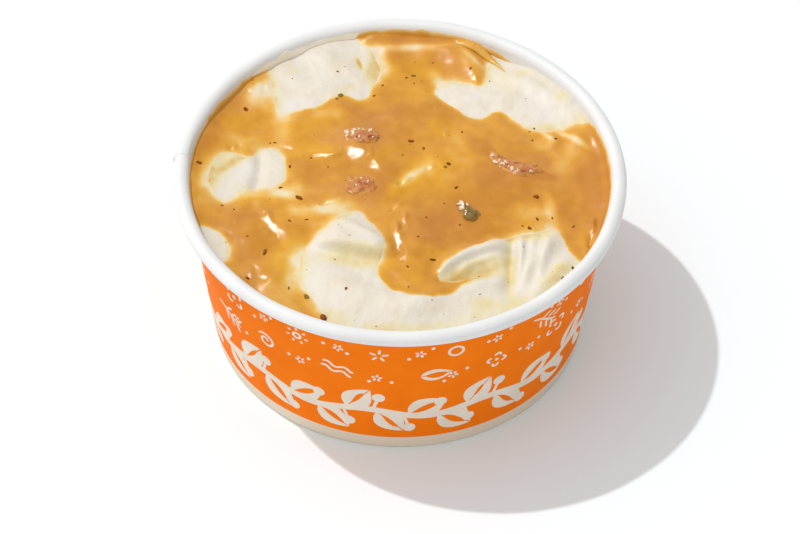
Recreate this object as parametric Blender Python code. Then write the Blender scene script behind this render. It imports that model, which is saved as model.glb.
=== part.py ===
"""A round paper cup filled with mashed potato and gravy.

The cup is rolled paperboard: a tapered side wall with a curled rim, a lapped side seam and a
folded foot, and a pressed bottom disc whose skirt is held in that fold. The mash fills the cup
to just under the rim. The gravy lies on it as one layer, with five bare patches, and three
pieces of meat and one green piece sit in it.

Lengths are in millimetres and turned into metres where the meshes are made. +Z is up, and the
origin is the middle of the foot, on the table.
"""

import math

import bmesh
import bpy
import numpy as np
from mathutils import Matrix, Vector
from mathutils.geometry import delaunay_2d_cdt

MM = 0.001

# Cup
CUP_HEIGHT = 40.0
RIM_RADIUS = 45.0
FOOT_RADIUS = 37.0
BOARD = 0.45
GAP = 0.3
CURL_RADIUS = 1.53
CURL_END = -120.0
CURL_STEPS = 10
FOLD_HEIGHT = 5.0
FLOOR_HEIGHT = 5.775
FLOOR_BEND = 0.5
SKIRT_END = 0.9
CORNER = 0.25
SIDES = 60

# Side seam, where one end of the blank lies over the other
SEAM_ANGLE = 174.0
SEAM_STEP = 0.35
SEAM_WIDTH = 9.0
SEAM_FADE = 6.0
SEAM_EDGE = 0.3

# Food
MASH_BASE = 6.3
WALL_LEVEL = 34.8
DOME_RISE = 2.0
GRAVY_DEPTH = 1.7
GRAVY_EDGE_DEPTH = 0.35
GRAVY_EDGE_WIDTH = 2.2
BED_DEPTH = 1.3
BED_WIDTH = 3.0
NET_SPACING = 2.75
OUTLINE_STEP = 2.2

# Broad lumps of the mash: x, y, half length, half width, turn in degrees, height
LUMPS = [
    (-15.5, 30.0, 14.0, 9.0, 25.0, 1.7),
    (-30.0, 2.5, 9.5, 7.5, 8.0, 1.1),
    (-10.5, -13.5, 8.0, 6.0, -35.0, 1.1),
    (27.5, -19.0, 9.0, 8.0, -30.0, 0.9),
    (25.0, 26.0, 16.0, 8.0, -42.0, 1.1),
    (-7.0, 12.5, 7.0, 5.0, 10.0, 0.6),
]

# Folds of the mash: start, end, arch, height, width on the left, width on the right
FOLDS = [
    ((-17.0, -17.0), (-1.5, -20.0), -0.5, 1.3, 4.5, 1.6),
    ((-19.0, -20.0), (6.0, -33.5), -3.0, 0.8, 4.0, 4.5),
    ((7.0, -25.5), (22.0, -17.0), 1.8, 1.3, 3.0, 1.6),
    ((1.0, -33.5), (19.0, -24.0), 0.8, 0.7, 2.0, 3.0),
    ((22.0, -14.5), (21.0, -28.5), 0.6, -1.0, 1.8, 1.5),
    ((31.5, -11.5), (25.0, -23.0), 0.5, 0.6, 1.6, 1.6),
    ((34.0, -18.0), (26.0, -28.0), 0.5, 0.5, 1.8, 1.6),
    ((-28.0, 9.0), (-29.0, -3.0), 0.6, -0.8, 1.0, 1.4),
    ((10.0, 24.0), (24.0, 24.5), 1.0, 0.5, 2.0, 2.0),
    ((20.0, 31.0), (35.0, 20.5), 1.0, 0.5, 2.5, 2.0),
]

# Bare patches, where the mash shows: corners of a smooth closed outline
PATCH_BACK_LEFT = [
    (-26.5, 33.5), (-20.0, 38.0), (-13.0, 41.5), (-7.2, 38.0), (-4.5, 33.0), (-6.0, 27.0),
    (-8.0, 24.0), (-12.5, 24.8), (-17.0, 21.8), (-21.5, 20.4), (-24.6, 20.8), (-26.0, 26.5),
]
PATCH_LEFT = [
    (-26.0, 10.4), (-23.8, 8.4), (-22.8, 4.5), (-24.2, -0.5), (-31.0, -1.7), (-34.0, -4.8),
    (-37.0, -3.0), (-38.0, 1.8), (-36.5, 7.0), (-33.5, 8.3), (-30.5, 7.4),
]
PATCH_FRONT = [
    (-8.5, -8.0), (-6.0, -11.0), (-3.0, -17.5), (-4.2, -23.5), (-1.0, -28.3), (4.0, -30.4),
    (9.0, -30.0), (12.4, -27.3), (15.6, -23.2), (12.0, -24.8), (8.0, -24.6), (10.3, -21.0),
    (14.5, -17.6), (20.5, -14.3), (27.0, -12.5), (31.0, -11.2), (33.5, -17.0), (36.5, -23.5),
    (28.0, -34.0), (12.0, -43.0), (-4.0, -43.5), (-11.0, -38.5), (-16.5, -30.5),
    (-19.6, -25.5), (-18.3, -17.5), (-13.0, -11.6),
]
PATCH_BACK_RIGHT = [
    (7.0, 26.8), (11.5, 21.8), (15.5, 19.6), (20.0, 21.5), (26.0, 16.6), (32.0, 17.0),
    (41.5, 20.0), (37.0, 27.0), (28.0, 36.0), (19.0, 40.5), (16.5, 34.5), (15.0, 30.0),
]
PATCH_SIDE = [
    (-39.5, -13.0), (-36.5, -12.8), (-33.5, -17.0), (-34.5, -20.5), (-38.5, -20.0),
]
PATCHES = [PATCH_BACK_LEFT, PATCH_LEFT, PATCH_FRONT, PATCH_BACK_RIGHT, PATCH_SIDE]

# Deeper and thinner places of the gravy, as lumps added to its depth
GRAVY_SWELLS = [
    (2.5, -18.0, 13.0, 6.5, 95.0, 0.7),
    (-8.0, 10.0, 6.0, 4.0, 0.0, 0.4),
    (-26.0, -12.0, 7.0, 4.0, 60.0, 0.4),
    (14.0, 31.5, 5.0, 3.0, -40.0, 0.4),
    (-33.0, 22.0, 8.0, 8.0, 0.0, -0.5),
]

# Bits in the gravy: name, colour, then x, y, half length, half width, half height, turn
MEAT_COLOUR = (0.42, 0.17, 0.085)
GREEN_COLOUR = (0.12, 0.11, 0.03)
BITS = [
    ("meat_piece_1", MEAT_COLOUR, (-7.6, 12.3, 3.0, 2.1, 1.25, 15.0)),
    ("meat_piece_2", MEAT_COLOUR, (-8.0, -0.9, 3.1, 2.5, 1.3, -20.0)),
    ("meat_piece_3", MEAT_COLOUR, (23.2, 5.3, 5.2, 2.0, 1.15, -4.0)),
    ("green_piece", GREEN_COLOUR, (12.9, -8.3, 2.3, 1.3, 1.1, -50.0)),
]
BIT_SEGMENTS = 12
BIT_RINGS = 8


def wall_slope():
    """How far the side wall leans out for each millimetre of height."""
    top = RIM_RADIUS - CURL_RADIUS - (CURL_RADIUS - BOARD / 2)
    return (top - (FOOT_RADIUS - BOARD / 2)) / (CUP_HEIGHT - CURL_RADIUS)


def inner_radius(height):
    """Radius of the wall's inner face at a height."""
    return FOOT_RADIUS - BOARD + wall_slope() * height


# ---------------------------------------------------------------- meshes

def new_object(name, build, colour, roughness, clearcoat=0.0):
    """Turn a bmesh in millimetres into a named object with its own material."""
    bmesh.ops.scale(build, vec=(MM, MM, MM), verts=build.verts)
    bmesh.ops.recalc_face_normals(build, faces=build.faces)
    mesh = bpy.data.meshes.new(name)
    build.to_mesh(mesh)
    build.free()
    material = bpy.data.materials.new(name + "_material")
    material.use_nodes = True
    shader = material.node_tree.nodes["Principled BSDF"]
    shader.inputs["Base Color"].default_value = (*colour, 1.0)
    shader.inputs["Roughness"].default_value = roughness
    shader.inputs["Coat Weight"].default_value = clearcoat
    mesh.materials.append(material)
    mesh.shade_smooth()
    mesh.set_sharp_from_angle(angle=math.radians(40))
    item = bpy.data.objects.new(name, mesh)
    bpy.context.scene.collection.objects.link(item)
    return item


def sheet_outline(centreline, thickness):
    """Closed outline of a sheet of even thickness along a line of (radius, height) points."""
    line = [Vector(point) for point in centreline]
    left = []
    right = []
    for index, point in enumerate(line):
        before = (point - line[max(index - 1, 0)]).normalized()
        after = (line[min(index + 1, len(line) - 1)] - point).normalized()
        if index == 0:
            before = after
        if index == len(line) - 1:
            after = before
        along = (before + after).normalized()
        reach = thickness / 2 / max(along.dot(after), 0.5)
        side = Vector((-along.y, along.x)) * reach
        left.append(point + side)
        right.append(point - side)
    return left + right[::-1]


def turned(outline_at, angles):
    """Body made by carrying a closed (radius, height) outline round the Z axis."""
    build = bmesh.new()
    columns = []
    for angle in angles:
        cos_angle = math.cos(math.radians(angle))
        sin_angle = math.sin(math.radians(angle))
        column = []
        for radius, height in outline_at(angle):
            column.append(build.verts.new((radius * cos_angle, radius * sin_angle, height)))
        columns.append(column)
    for column, after in zip(columns, columns[1:] + columns[:1]):
        for index in range(len(column)):
            below = index - 1
            build.faces.new((column[below], column[index], after[index], after[below]))
    bmesh.ops.remove_doubles(build, verts=build.verts, dist=0.0001)
    return build


def even_angles():
    """Angles of the cup's facets, in degrees."""
    return [360.0 * index / SIDES for index in range(SIDES)]


# ---------------------------------------------------------------- cup

def wall_centreline():
    """Middle of the board, from the folded foot up the wall and round the curl."""
    lean = wall_slope()
    outer = FOOT_RADIUS - BOARD / 2
    inner = outer - 2 * (BOARD + GAP)
    low = BOARD / 2
    line = [
        (inner + lean * FOLD_HEIGHT, FOLD_HEIGHT),
        (inner, low + CORNER),
        (inner + CORNER, low),
        (outer - CORNER, low),
        (outer, low + CORNER),
    ]
    middle_radius = RIM_RADIUS - CURL_RADIUS
    middle_height = CUP_HEIGHT - CURL_RADIUS
    bend = CURL_RADIUS - BOARD / 2
    for index in range(CURL_STEPS + 1):
        angle = math.radians(180.0 + (CURL_END - 180.0) * index / CURL_STEPS)
        line.append((middle_radius + bend * math.cos(angle), middle_height + bend * math.sin(angle)))
    return line


def seam_offset(angle):
    """How far the lapped end of the blank stands out of the wall at an angle."""
    arc = math.radians(SEAM_ANGLE - angle) * (FOOT_RADIUS + RIM_RADIUS) / 2
    if arc <= 0.0 or arc >= SEAM_WIDTH:
        return 0.0
    return SEAM_STEP * min(1.0, (SEAM_WIDTH - arc) / SEAM_FADE)


def cup_wall():
    """Side wall, rim curl and folded foot, with the seam's lap on the outside."""
    outline = sheet_outline(wall_centreline(), BOARD)
    outer_face = [point for point in outline if on_outer_face(point)]

    def outline_at(angle):
        lap = seam_offset(angle)
        return [(point.x + (lap if point in outer_face else 0.0), point.y) for point in outline]

    seam_edges = [SEAM_ANGLE - SEAM_EDGE, SEAM_ANGLE + SEAM_EDGE]
    build = turned(outline_at, sorted(even_angles() + seam_edges))
    return new_object("cup_wall", build, (0.80, 0.16, 0.012), 0.55)


def on_outer_face(point):
    """Whether an outline point lies on the outside of the wall, under the curl."""
    surface = FOOT_RADIUS - BOARD + wall_slope() * point.y
    under_curl = point.y < CUP_HEIGHT - CURL_RADIUS + 0.1
    return under_curl and surface + 0.1 < point.x < surface + 0.8


def cup_bottom():
    """Bottom disc, bent down into the skirt that the foot's fold holds."""
    lean = wall_slope()
    skirt = FOOT_RADIUS - BOARD / 2 - (BOARD + GAP)
    line = [
        (0.0, FLOOR_HEIGHT),
        (skirt + lean * FLOOR_HEIGHT - FLOOR_BEND, FLOOR_HEIGHT),
        (skirt + lean * (FLOOR_HEIGHT - FLOOR_BEND), FLOOR_HEIGHT - FLOOR_BEND),
        (skirt + lean * SKIRT_END, SKIRT_END),
    ]
    outline = sheet_outline(line, BOARD)
    build = turned(lambda angle: [tuple(point) for point in outline], even_angles())
    return new_object("cup_bottom", build, (0.86, 0.85, 0.82), 0.6)


# ---------------------------------------------------------------- food surface

def smooth_step(low, high, value):
    """Rise from 0 to 1 between two limits, with a level start and end."""
    part = np.clip((value - low) / (high - low), 0.0, 1.0)
    return part * part * (3.0 - 2.0 * part)


def lump(x, y, middle_x, middle_y, half_length, half_width, turn, height):
    """A rounded lump with a flat top, as a height at each point."""
    cos_turn = math.cos(math.radians(turn))
    sin_turn = math.sin(math.radians(turn))
    along = ((x - middle_x) * cos_turn + (y - middle_y) * sin_turn) / half_length
    across = ((y - middle_y) * cos_turn - (x - middle_x) * sin_turn) / half_width
    return height * np.exp(-(along ** 2 + across ** 2) ** 1.5)


def fold(x, y, start, end, arch, height, left_width, right_width):
    """A ridge along an arched line, or a groove if the height is negative."""
    run_x = end[0] - start[0]
    run_y = end[1] - start[1]
    length = math.hypot(run_x, run_y)
    part = ((x - start[0]) * run_x + (y - start[1]) * run_y) / length ** 2
    side = ((y - start[1]) * run_x - (x - start[0]) * run_y) / length
    side = side - arch * (1.0 - (2.0 * part - 1.0) ** 2)
    ends = smooth_step(-0.15, 0.25, part) * smooth_step(-0.15, 0.25, 1.0 - part)
    width = np.where(side > 0.0, left_width, right_width)
    return height * ends * np.exp(-(side / width) ** 2)


def food_surface(x, y):
    """Height of the bare mash, with its lumps and folds."""
    reach = (x ** 2 + y ** 2) / inner_radius(WALL_LEVEL) ** 2
    height = WALL_LEVEL + DOME_RISE * (1.0 - reach)
    for values in LUMPS:
        height = height + lump(x, y, *values)
    for values in FOLDS:
        height = height + fold(x, y, *values)
    return height


def closed_curve(corners, step):
    """Smooth closed curve through the corners, with points about a step apart."""
    points = []
    count = len(corners)
    for index in range(count):
        p0, p1, p2, p3 = (Vector(corners[(index + offset) % count]) for offset in (-1, 0, 1, 2))
        pieces = max(1, round((p2 - p1).length / step))
        for piece in range(pieces):
            t = piece / pieces
            ahead = (p2 - p0) * t
            bend = (2 * p0 - 5 * p1 + 4 * p2 - p3) * t ** 2 + (3 * p1 - p0 - 3 * p2 + p3) * t ** 3
            points.append(p1 + (ahead + bend) / 2)
    return points


def inside(x, y, loop):
    """Whether each point lies inside a closed loop."""
    result = np.zeros(np.shape(x), bool)
    for a, b in zip(loop, loop[1:] + loop[:1]):
        crosses = (a.y > y) != (b.y > y)
        rise = b.y - a.y if b.y != a.y else 1.0
        result ^= crosses & (x < (b.x - a.x) * (y - a.y) / rise + a.x)
    return result


def distance_to(x, y, loop):
    """Distance from each point to a closed loop."""
    nearest = np.full(np.shape(x), 1000.0)
    for a, b in zip(loop, loop[1:] + loop[:1]):
        run = b - a
        part = ((x - a.x) * run.x + (y - a.y) * run.y) / max(run.length_squared, 1e-9)
        part = np.clip(part, 0.0, 1.0)
        gap = np.hypot(x - a.x - part * run.x, y - a.y - part * run.y)
        nearest = np.minimum(nearest, gap)
    return nearest


def gravy_reach(x, y, patches):
    """Distance into the gravy from the nearest bare patch, and 0 on a patch."""
    reach = np.full(np.shape(x), 1000.0)
    for loop in patches:
        reach = np.minimum(reach, distance_to(x, y, loop))
        reach = np.where(inside(x, y, loop), 0.0, reach)
    return reach


def mash_top(x, y, patches):
    """Height of the mash, which lies lower under the gravy."""
    return food_surface(x, y) - BED_DEPTH * smooth_step(0.0, BED_WIDTH, gravy_reach(x, y, patches))


def gravy_depth(x, y, patches):
    """Thickness of the gravy, thinning to its rounded edges."""
    depth = GRAVY_DEPTH + 0.0 * x
    for values in GRAVY_SWELLS:
        depth = depth + lump(x, y, *values)
    part = np.clip(gravy_reach(x, y, patches) / GRAVY_EDGE_WIDTH, 0.0, 1.0)
    return GRAVY_EDGE_DEPTH + (depth - GRAVY_EDGE_DEPTH) * np.sqrt(1.0 - (1.0 - part) ** 2)


# ---------------------------------------------------------------- food solids

def bit_outline(middle_x, middle_y, half_length, half_width, turn):
    """Ellipse round a bit of meat or green, as the hole that it makes in the gravy."""
    points = []
    for index in range(BIT_SEGMENTS):
        angle = math.tau * index / BIT_SEGMENTS
        point = Vector((half_length * math.cos(angle), half_width * math.sin(angle)))
        points.append(Matrix.Rotation(math.radians(turn), 2) @ point + Vector((middle_x, middle_y)))
    return points


def surface_net(rim, holes):
    """One net of triangles over the whole food surface, with edges along every outline."""
    loops = [rim] + holes
    fixed = [point for loop in loops for point in loop]
    edges = []
    for loop in loops:
        first = len(edges)
        edges += [(first + index, first + (index + 1) % len(loop)) for index in range(len(loop))]
    fixed_x = np.array([point.x for point in fixed])
    fixed_y = np.array([point.y for point in fixed])
    limit = rim[0].length - NET_SPACING * 0.4
    rows = int(limit / NET_SPACING) + 2
    free = []
    for row in range(-rows, rows + 1):
        y = row * NET_SPACING * math.sqrt(3) / 2
        for column in range(-rows, rows + 1):
            x = (column + 0.5 * (row % 2)) * NET_SPACING
            clear = np.hypot(fixed_x - x, fixed_y - y).min() > NET_SPACING * 0.55
            if clear and math.hypot(x, y) < limit:
                free.append(Vector((x, y)))
    result = delaunay_2d_cdt(fixed + free, edges, [], 0, 0.001)
    points = [Vector(point) for point in result[0]]
    return points, [tuple(face) for face in result[2]]


def faces_between(points, faces, rim, holes):
    """Faces of a net that lie inside the rim and outside the holes."""
    middle_x = np.array([sum(points[corner].x for corner in face) / 3 for face in faces])
    middle_y = np.array([sum(points[corner].y for corner in face) / 3 for face in faces])
    keep = inside(middle_x, middle_y, rim)
    for loop in holes:
        keep &= ~inside(middle_x, middle_y, loop)
    return [face for face, kept in zip(faces, keep) if kept]


def heights(points, height_at):
    """Height at each point of a net."""
    x = np.array([point.x for point in points])
    y = np.array([point.y for point in points])
    return height_at(x, y)


def top_sheet(build, points, faces, levels):
    """Add a net of triangles at the given heights, and return its vertices by point number."""
    verts = {}
    for face in faces:
        for corner in face:
            if corner not in verts:
                point = points[corner]
                verts[corner] = build.verts.new((point.x, point.y, levels[corner]))
        build.faces.new([verts[corner] for corner in face])
    return verts


def outer_edges(faces):
    """Edges that belong to one face only, in that face's direction."""
    edges = {(a, b) for face in faces for a, b in zip(face, face[1:] + face[:1])}
    return [(a, b) for a, b in edges if (b, a) not in edges]


def mashed_potato(points, faces, levels):
    """Mash from the cup's bottom up to the net, tapered like the cup."""
    build = bmesh.new()
    verts = top_sheet(build, points, faces, levels)
    foot_scale = (inner_radius(MASH_BASE) - GAP) / (inner_radius(WALL_LEVEL) - GAP)
    foot = {}
    for a, b in outer_edges(faces):
        for corner in (a, b):
            if corner not in foot:
                point = points[corner] * foot_scale
                foot[corner] = build.verts.new((point.x, point.y, MASH_BASE))
        build.faces.new((verts[b], verts[a], foot[a], foot[b]))
    foot_edges = [edge for edge in build.edges if all(v in foot.values() for v in edge.verts)]
    bmesh.ops.contextual_create(build, geom=foot_edges)
    return new_object("mashed_potato", build, (0.87, 0.80, 0.70), 0.55)


def gravy(points, faces, bed, top):
    """Gravy as one layer between the mash and its own surface."""
    build = bmesh.new()
    upper = top_sheet(build, points, faces, top)
    lower = {corner: build.verts.new((*points[corner], bed[corner])) for corner in upper}
    for face in faces:
        build.faces.new([lower[corner] for corner in reversed(face)])
    for a, b in outer_edges(faces):
        build.faces.new((upper[b], upper[a], lower[a], lower[b]))
    return new_object("gravy", build, (0.75, 0.33, 0.045), 0.25, 0.5)


def bit_piece(name, colour, shape, rest):
    """A lumpy bit standing on the mash and out of the gravy."""
    middle_x, middle_y, half_length, half_width, half_height, turn = shape
    build = bmesh.new()
    bmesh.ops.create_uvsphere(build, u_segments=BIT_SEGMENTS, v_segments=BIT_RINGS, radius=1.0)
    for vert in build.verts:
        x, y, z = vert.co
        dent = 1.0 - 0.05 * (1.0 + math.sin(5.0 * x + middle_x) * math.cos(4.0 * y + middle_y))
        bulge = abs(z) ** 0.8 * math.copysign(1.0, z)
        vert.co = (x * half_length * dent, y * half_width * dent, bulge * half_height)
    bmesh.ops.rotate(build, verts=build.verts, matrix=Matrix.Rotation(math.radians(turn), 3, "Z"))
    bmesh.ops.translate(build, verts=build.verts, vec=(middle_x, middle_y, rest + half_height))
    return new_object(name, build, colour, 0.4, 0.4)


def food():
    """Mash, gravy and bits on one shared net, so that their faces never cross."""
    rim_radius = inner_radius(WALL_LEVEL) - GAP
    rim = []
    for angle in even_angles():
        turn = math.radians(angle)
        rim.append(Vector((rim_radius * math.cos(turn), rim_radius * math.sin(turn))))
    patches = [closed_curve(corners, OUTLINE_STEP) for corners in PATCHES]
    bit_holes = []
    for _, _, (x, y, half_length, half_width, _, turn) in BITS:
        bit_holes.append(bit_outline(x, y, half_length + GAP, half_width + GAP, turn))

    points, faces = surface_net(rim, patches + bit_holes)
    mash_faces = faces_between(points, faces, rim, [])
    gravy_faces = faces_between(points, faces, rim, patches + bit_holes)
    mash_levels = heights(points, lambda x, y: mash_top(x, y, patches))
    depths = heights(points, lambda x, y: gravy_depth(x, y, patches))

    mashed_potato(points, mash_faces, mash_levels)
    gravy(points, gravy_faces, mash_levels + GAP, mash_levels + GAP + depths)
    for (name, colour, shape), hole in zip(BITS, bit_holes):
        rest = float(heights(hole, lambda x, y: mash_top(x, y, patches)).max()) + GAP
        bit_piece(name, colour, shape, rest)


def main():
    """Build the cup and its contents in an empty scene."""
    for item in list(bpy.data.objects):
        bpy.data.objects.remove(item, do_unlink=True)
    cup_wall()
    cup_bottom()
    food()


main()
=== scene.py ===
"""Looks of a paper cup of mashed potato and gravy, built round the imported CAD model.

Lengths are millimetres and turns are degrees, in the CAD model's frame: +Z up, the origin in the
middle of the cup's foot, and the camera in front, on the -Y side. Meshes are made in metres.
A row of a lump is its middle x and y, half length, half width, turn, and height.
A row of a fold is its start, its end, its arch, its height, and its left and right widths.
"""

import math
import random

import bmesh
import bpy
import numpy as np
from mathutils import Matrix, Vector, kdtree, noise
from mathutils.geometry import delaunay_2d_cdt


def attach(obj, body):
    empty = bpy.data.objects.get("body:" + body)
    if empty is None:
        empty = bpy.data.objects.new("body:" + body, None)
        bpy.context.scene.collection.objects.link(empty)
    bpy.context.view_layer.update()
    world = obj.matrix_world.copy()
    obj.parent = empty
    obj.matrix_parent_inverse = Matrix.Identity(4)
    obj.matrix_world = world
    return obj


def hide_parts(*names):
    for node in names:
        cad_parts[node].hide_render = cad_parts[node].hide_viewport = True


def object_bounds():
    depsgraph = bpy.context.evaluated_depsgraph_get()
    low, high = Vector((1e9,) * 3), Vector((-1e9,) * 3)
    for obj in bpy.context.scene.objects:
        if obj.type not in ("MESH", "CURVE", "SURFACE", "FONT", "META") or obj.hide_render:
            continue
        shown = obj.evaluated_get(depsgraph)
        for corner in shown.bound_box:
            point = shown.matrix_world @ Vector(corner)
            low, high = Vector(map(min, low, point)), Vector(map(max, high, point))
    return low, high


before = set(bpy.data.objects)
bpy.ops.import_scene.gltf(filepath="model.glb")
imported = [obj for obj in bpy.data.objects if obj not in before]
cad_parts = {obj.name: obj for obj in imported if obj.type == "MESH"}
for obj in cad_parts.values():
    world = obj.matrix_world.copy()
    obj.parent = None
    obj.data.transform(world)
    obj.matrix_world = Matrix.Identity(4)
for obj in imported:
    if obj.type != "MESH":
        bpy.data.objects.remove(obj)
cad_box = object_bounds()

MM = 0.001

# Cup, as in the CAD model
CUP_HEIGHT = cad_box[1][2] / MM
RIM_RADIUS = 45.0
FOOT_RADIUS = 37.0
BOARD = 0.45
GAP = 0.3
CURL_RADIUS = 1.53
CURL_END = -120.0
CURL_STEPS = 24
FOLD_HEIGHT = 5.0
FLOOR_HEIGHT = 5.775
FLOOR_BEND = 0.5
SKIRT_END = 0.9
CORNER = 0.25
CORNER_CUT = 0.3
WALL_TOP = RIM_RADIUS - CURL_RADIUS - (CURL_RADIUS - BOARD / 2)
WALL_LEAN = (WALL_TOP - (FOOT_RADIUS - BOARD / 2)) / (CUP_HEIGHT - CURL_RADIUS)
SIDES = 360
BOTTOM_SIDES = 180
SEAM_ANGLE = 174.0
SEAM_STEP = 0.35
SEAM_WIDTH = 9.0
SEAM_FADE = 6.0
SEAM_EDGE = 0.08
RIM_LAP = 0.16
RIM_WANDER = 0.16
RIM_START = 37.1

# Print on the wall
PRINT_LOW = 3.6
PRINT_HIGH = 37.0
PRINT_SKIN = 0.04
PRINT_ROOT = 0.1
MOTIF_SKIN = 0.075
MOTIF_ROOT = 0.05
MOTIF_SPACING = 1.2
WAVES = 10
LEAVES = 4
STEM_HEIGHT = 11.8
STEM_SWING = 1.0
STEM_WIDTH = 1.8
LEAF_LENGTH = 8.6
LEAF_WIDTH = 6.4
LEAF_SLIT = 0.28
BERRY_RADIUS = 1.35
BERRY_REACH = 4.2
LINE_WIDTH = 0.55
SMALL_MOTIFS = 32
MOTIF_ROWS = (24.3, 31.3)
SPARK_ROWS = (31.8, 23.6)

# Food
MASH_BASE = 6.3
WALL_LEVEL = 34.8
WALL_OVERLAP = 0.1
DOME_RISE = 2.0
BED_DEPTH = 1.0
BED_WIDTH = 3.0
GRAVY_RISE = 0.7
GRAVY_SINK = 0.6
GRAVY_COLOUR = 2.1
NET_SPACING = 0.45
EDGE_WAVES = 0.45
EDGE_SOFTNESS = 0.22
FOLD_GAIN = 1.4
TONE_GAIN = 1.3
MENISCUS_WIDTH = 0.9
MENISCUS_RISE = 0.35
WALL_LAYER_EDGE = 1.3
WALL_LAYER_SKIN = 0.02
WALL_LAYER_GOLD = -0.3
RIM_MARGIN = 0.2

# Smooth noise: size, seed and height of its bumps
MASH_BUMPS = [(7.0, 1.0, 0.28), (2.8, 2.0, 0.16)]
MASH_GRAIN = [(1.3, 3.0, 0.1), (0.6, 4.0, 0.04)]
GRAVY_BUMPS = [(9.0, 12.0, 0.15)]
GRAVY_WAVES = [(6.0, 21.0, 0.22), (2.4, 22.0, 0.05)]
EDGE_CHANGES = [(7.0, 11.0, 0.7)]
TONE_MOTTLE = [(6.5, 31.0, 0.6), (2.6, 32.0, 0.2)]
GOLD_MOTTLE = [(5.0, 33.0, 0.5), (2.0, 34.0, 0.3)]
GLINT_RAGGED = (1.1, 51.0, 0.55)

# Highlights, bits and flecks
GLINT_SLOPE = (0.278, 0.304)
GLINT_FLAT = 0.6
GLINT_END = 1.8
GLINT_THINNEST = 0.9
BIT_SINK = 0.5
MEAT_ROUGHNESS = 0.12
GREEN_ROUGHNESS = 0.06
SPECKS_IN_GROUP = 3
SPECK_SPREAD = 0.24
SPECK_LEAN = 0.06
SPECK_SIDES = 8
FLAKE_SIDES = 9
FLAKE_THICKNESS = 0.35
SMALL_FLECKS = 70
FLECK_REACH = 39.5
STRAND_STEPS = 60
STRAND_SIDES = 14
STRAND_RISE = 0.5
STRAND_GOLD = -0.2

# Camera and light, as in the photo's view
CAMERA_LENS = 313.4
CAMERA_ELEVATION = 46.3
CAMERA_ROLL = 0.9
CAMERA_DISTANCE = 1419.0
CAMERA_TARGET = (0.24, 12.63, 0.0)
SUN_DIRECTION = (-0.4437, 0.2064, 0.872)
SUN_STRENGTH = 1.6
SUN_SIZE = 1.3
SKY_COLOUR = (0.985, 1.0, 1.005, 1.0)
SKY_STRENGTH = 1.04
SKY_LEVEL = 0.9
SKY_LEAN = 0.32
SKY_SIDE = (-0.88, -0.25, -0.4)
FLOOR_COLOUR = (0.80, 0.84, 0.855, 1.0)
FLOOR_REACH = 3.0
REFLECTED = 0.89

# Swells of the mash, as lumps
LUMPS = [
    (-15.5, 30, 14, 9, 25, 1.7), (-30, 2.5, 9.5, 7.5, 8, 1.1), (-10.5, -13.5, 8, 6, -35, 1.1),
    (27.5, -19, 9, 8, -30, 0.9), (25, 26, 16, 8, -42, 1.1), (-7, 12.5, 7, 5, 10, 0.6),
]

# Folds and grooves of the bare mash
FOLDS = [
    ((-16, -16.6), (-0.5, -19.4), -0.3, 1.5, 5, 0.9), ((-19, -20), (6, -33.5), -3, 0.8, 4, 4.5),
    ((7, -24.8), (22, -16.2), 1.8, 1.2, 2.6, 0.9), ((9, -27), (21, -21.5), 0.8, -0.8, 1.4, 2.2),
    ((12, -22.6), (20, -18.8), 0.6, 0.45, 0.8, 0.6), ((1, -33.5), (19, -24), 0.8, 0.7, 2, 3),
    ((22.2, -14.5), (21.4, -28), 0.4, -1, 1.3, 1.5), ((24, -14), (23.4, -24), 0.3, 0.7, 0.7, 1.1),
    ((31.5, -11.5), (25, -23), 0.5, 0.6, 1.6, 1.6), ((34, -18), (26, -28), 0.5, 0.5, 1.8, 1.6),
    ((-28, 9), (-29, -3), 0.6, -0.8, 1, 1.4), ((10, 24), (24, 24.5), 1, 0.5, 2, 2),
    ((20, 31), (35, 20.5), 1, 0.5, 2.5, 2), ((26.5, -13), (24.3, -26), 0.4, 0.35, 1, 0.8),
    ((29.3, -12.5), (27.3, -25), 0.4, 0.35, 1, 0.8), ((-13, -11), (-4, -17), 0.5, 0.4, 1.5, 1.5),
    ((-20, 36), (-8, 30), 0.8, 0.35, 2, 2), ((-24, 30), (-12, 27), -0.8, 0.35, 1.6, 2),
    ((24, 35), (37, 24), 0.5, 0.4, 1.5, 1.5),
]

# Outlines of the bare patches: back left, left, front, back right and left side
PATCHES = [
    [(-26.5, 33.5), (-20, 38), (-13, 41.5), (-7.2, 38), (-4.5, 33), (-6, 27), (-8, 24), (-12.5, 24.8),
     (-17, 21.8), (-21.5, 20.4), (-24.6, 20.8), (-26, 26.5)],
    [(-26, 10.4), (-23.8, 8.4), (-22.8, 4.5), (-24.2, -0.5), (-31, -1.7), (-34, -4.8), (-37, -3),
     (-38, 1.8), (-36.5, 7), (-33.5, 8.3), (-30.5, 7.4)],
    [(-8.5, -8), (-6, -11), (-3, -17.5), (-4.2, -23.5), (-1, -28.3), (4, -30.4), (9, -30), (12.4, -27.3),
     (15.6, -23.2), (12, -24.8), (8, -24.6), (10.3, -21), (14.5, -17.6), (20.5, -14.3), (27, -12.5),
     (31, -11.2), (33.5, -17), (36.5, -23.5), (28, -34), (12, -43), (-4, -43.5), (-11, -38.5),
     (-16.5, -30.5), (-19.6, -25.5), (-18.3, -17.5), (-13, -11.6)],
    [(7, 26.8), (11.5, 21.8), (15.5, 19.6), (20, 21.5), (26, 16.6), (32, 17), (41.5, 20), (37, 27),
     (28, 36), (19, 40.5), (17.2, 35.5), (17.2, 31.5), (15.6, 28.6), (12.8, 29.6), (9.4, 29.6)],
    [(-39.5, -13), (-36.5, -12.8), (-33.5, -17), (-34.5, -20.5), (-38.5, -20)],
]

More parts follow.
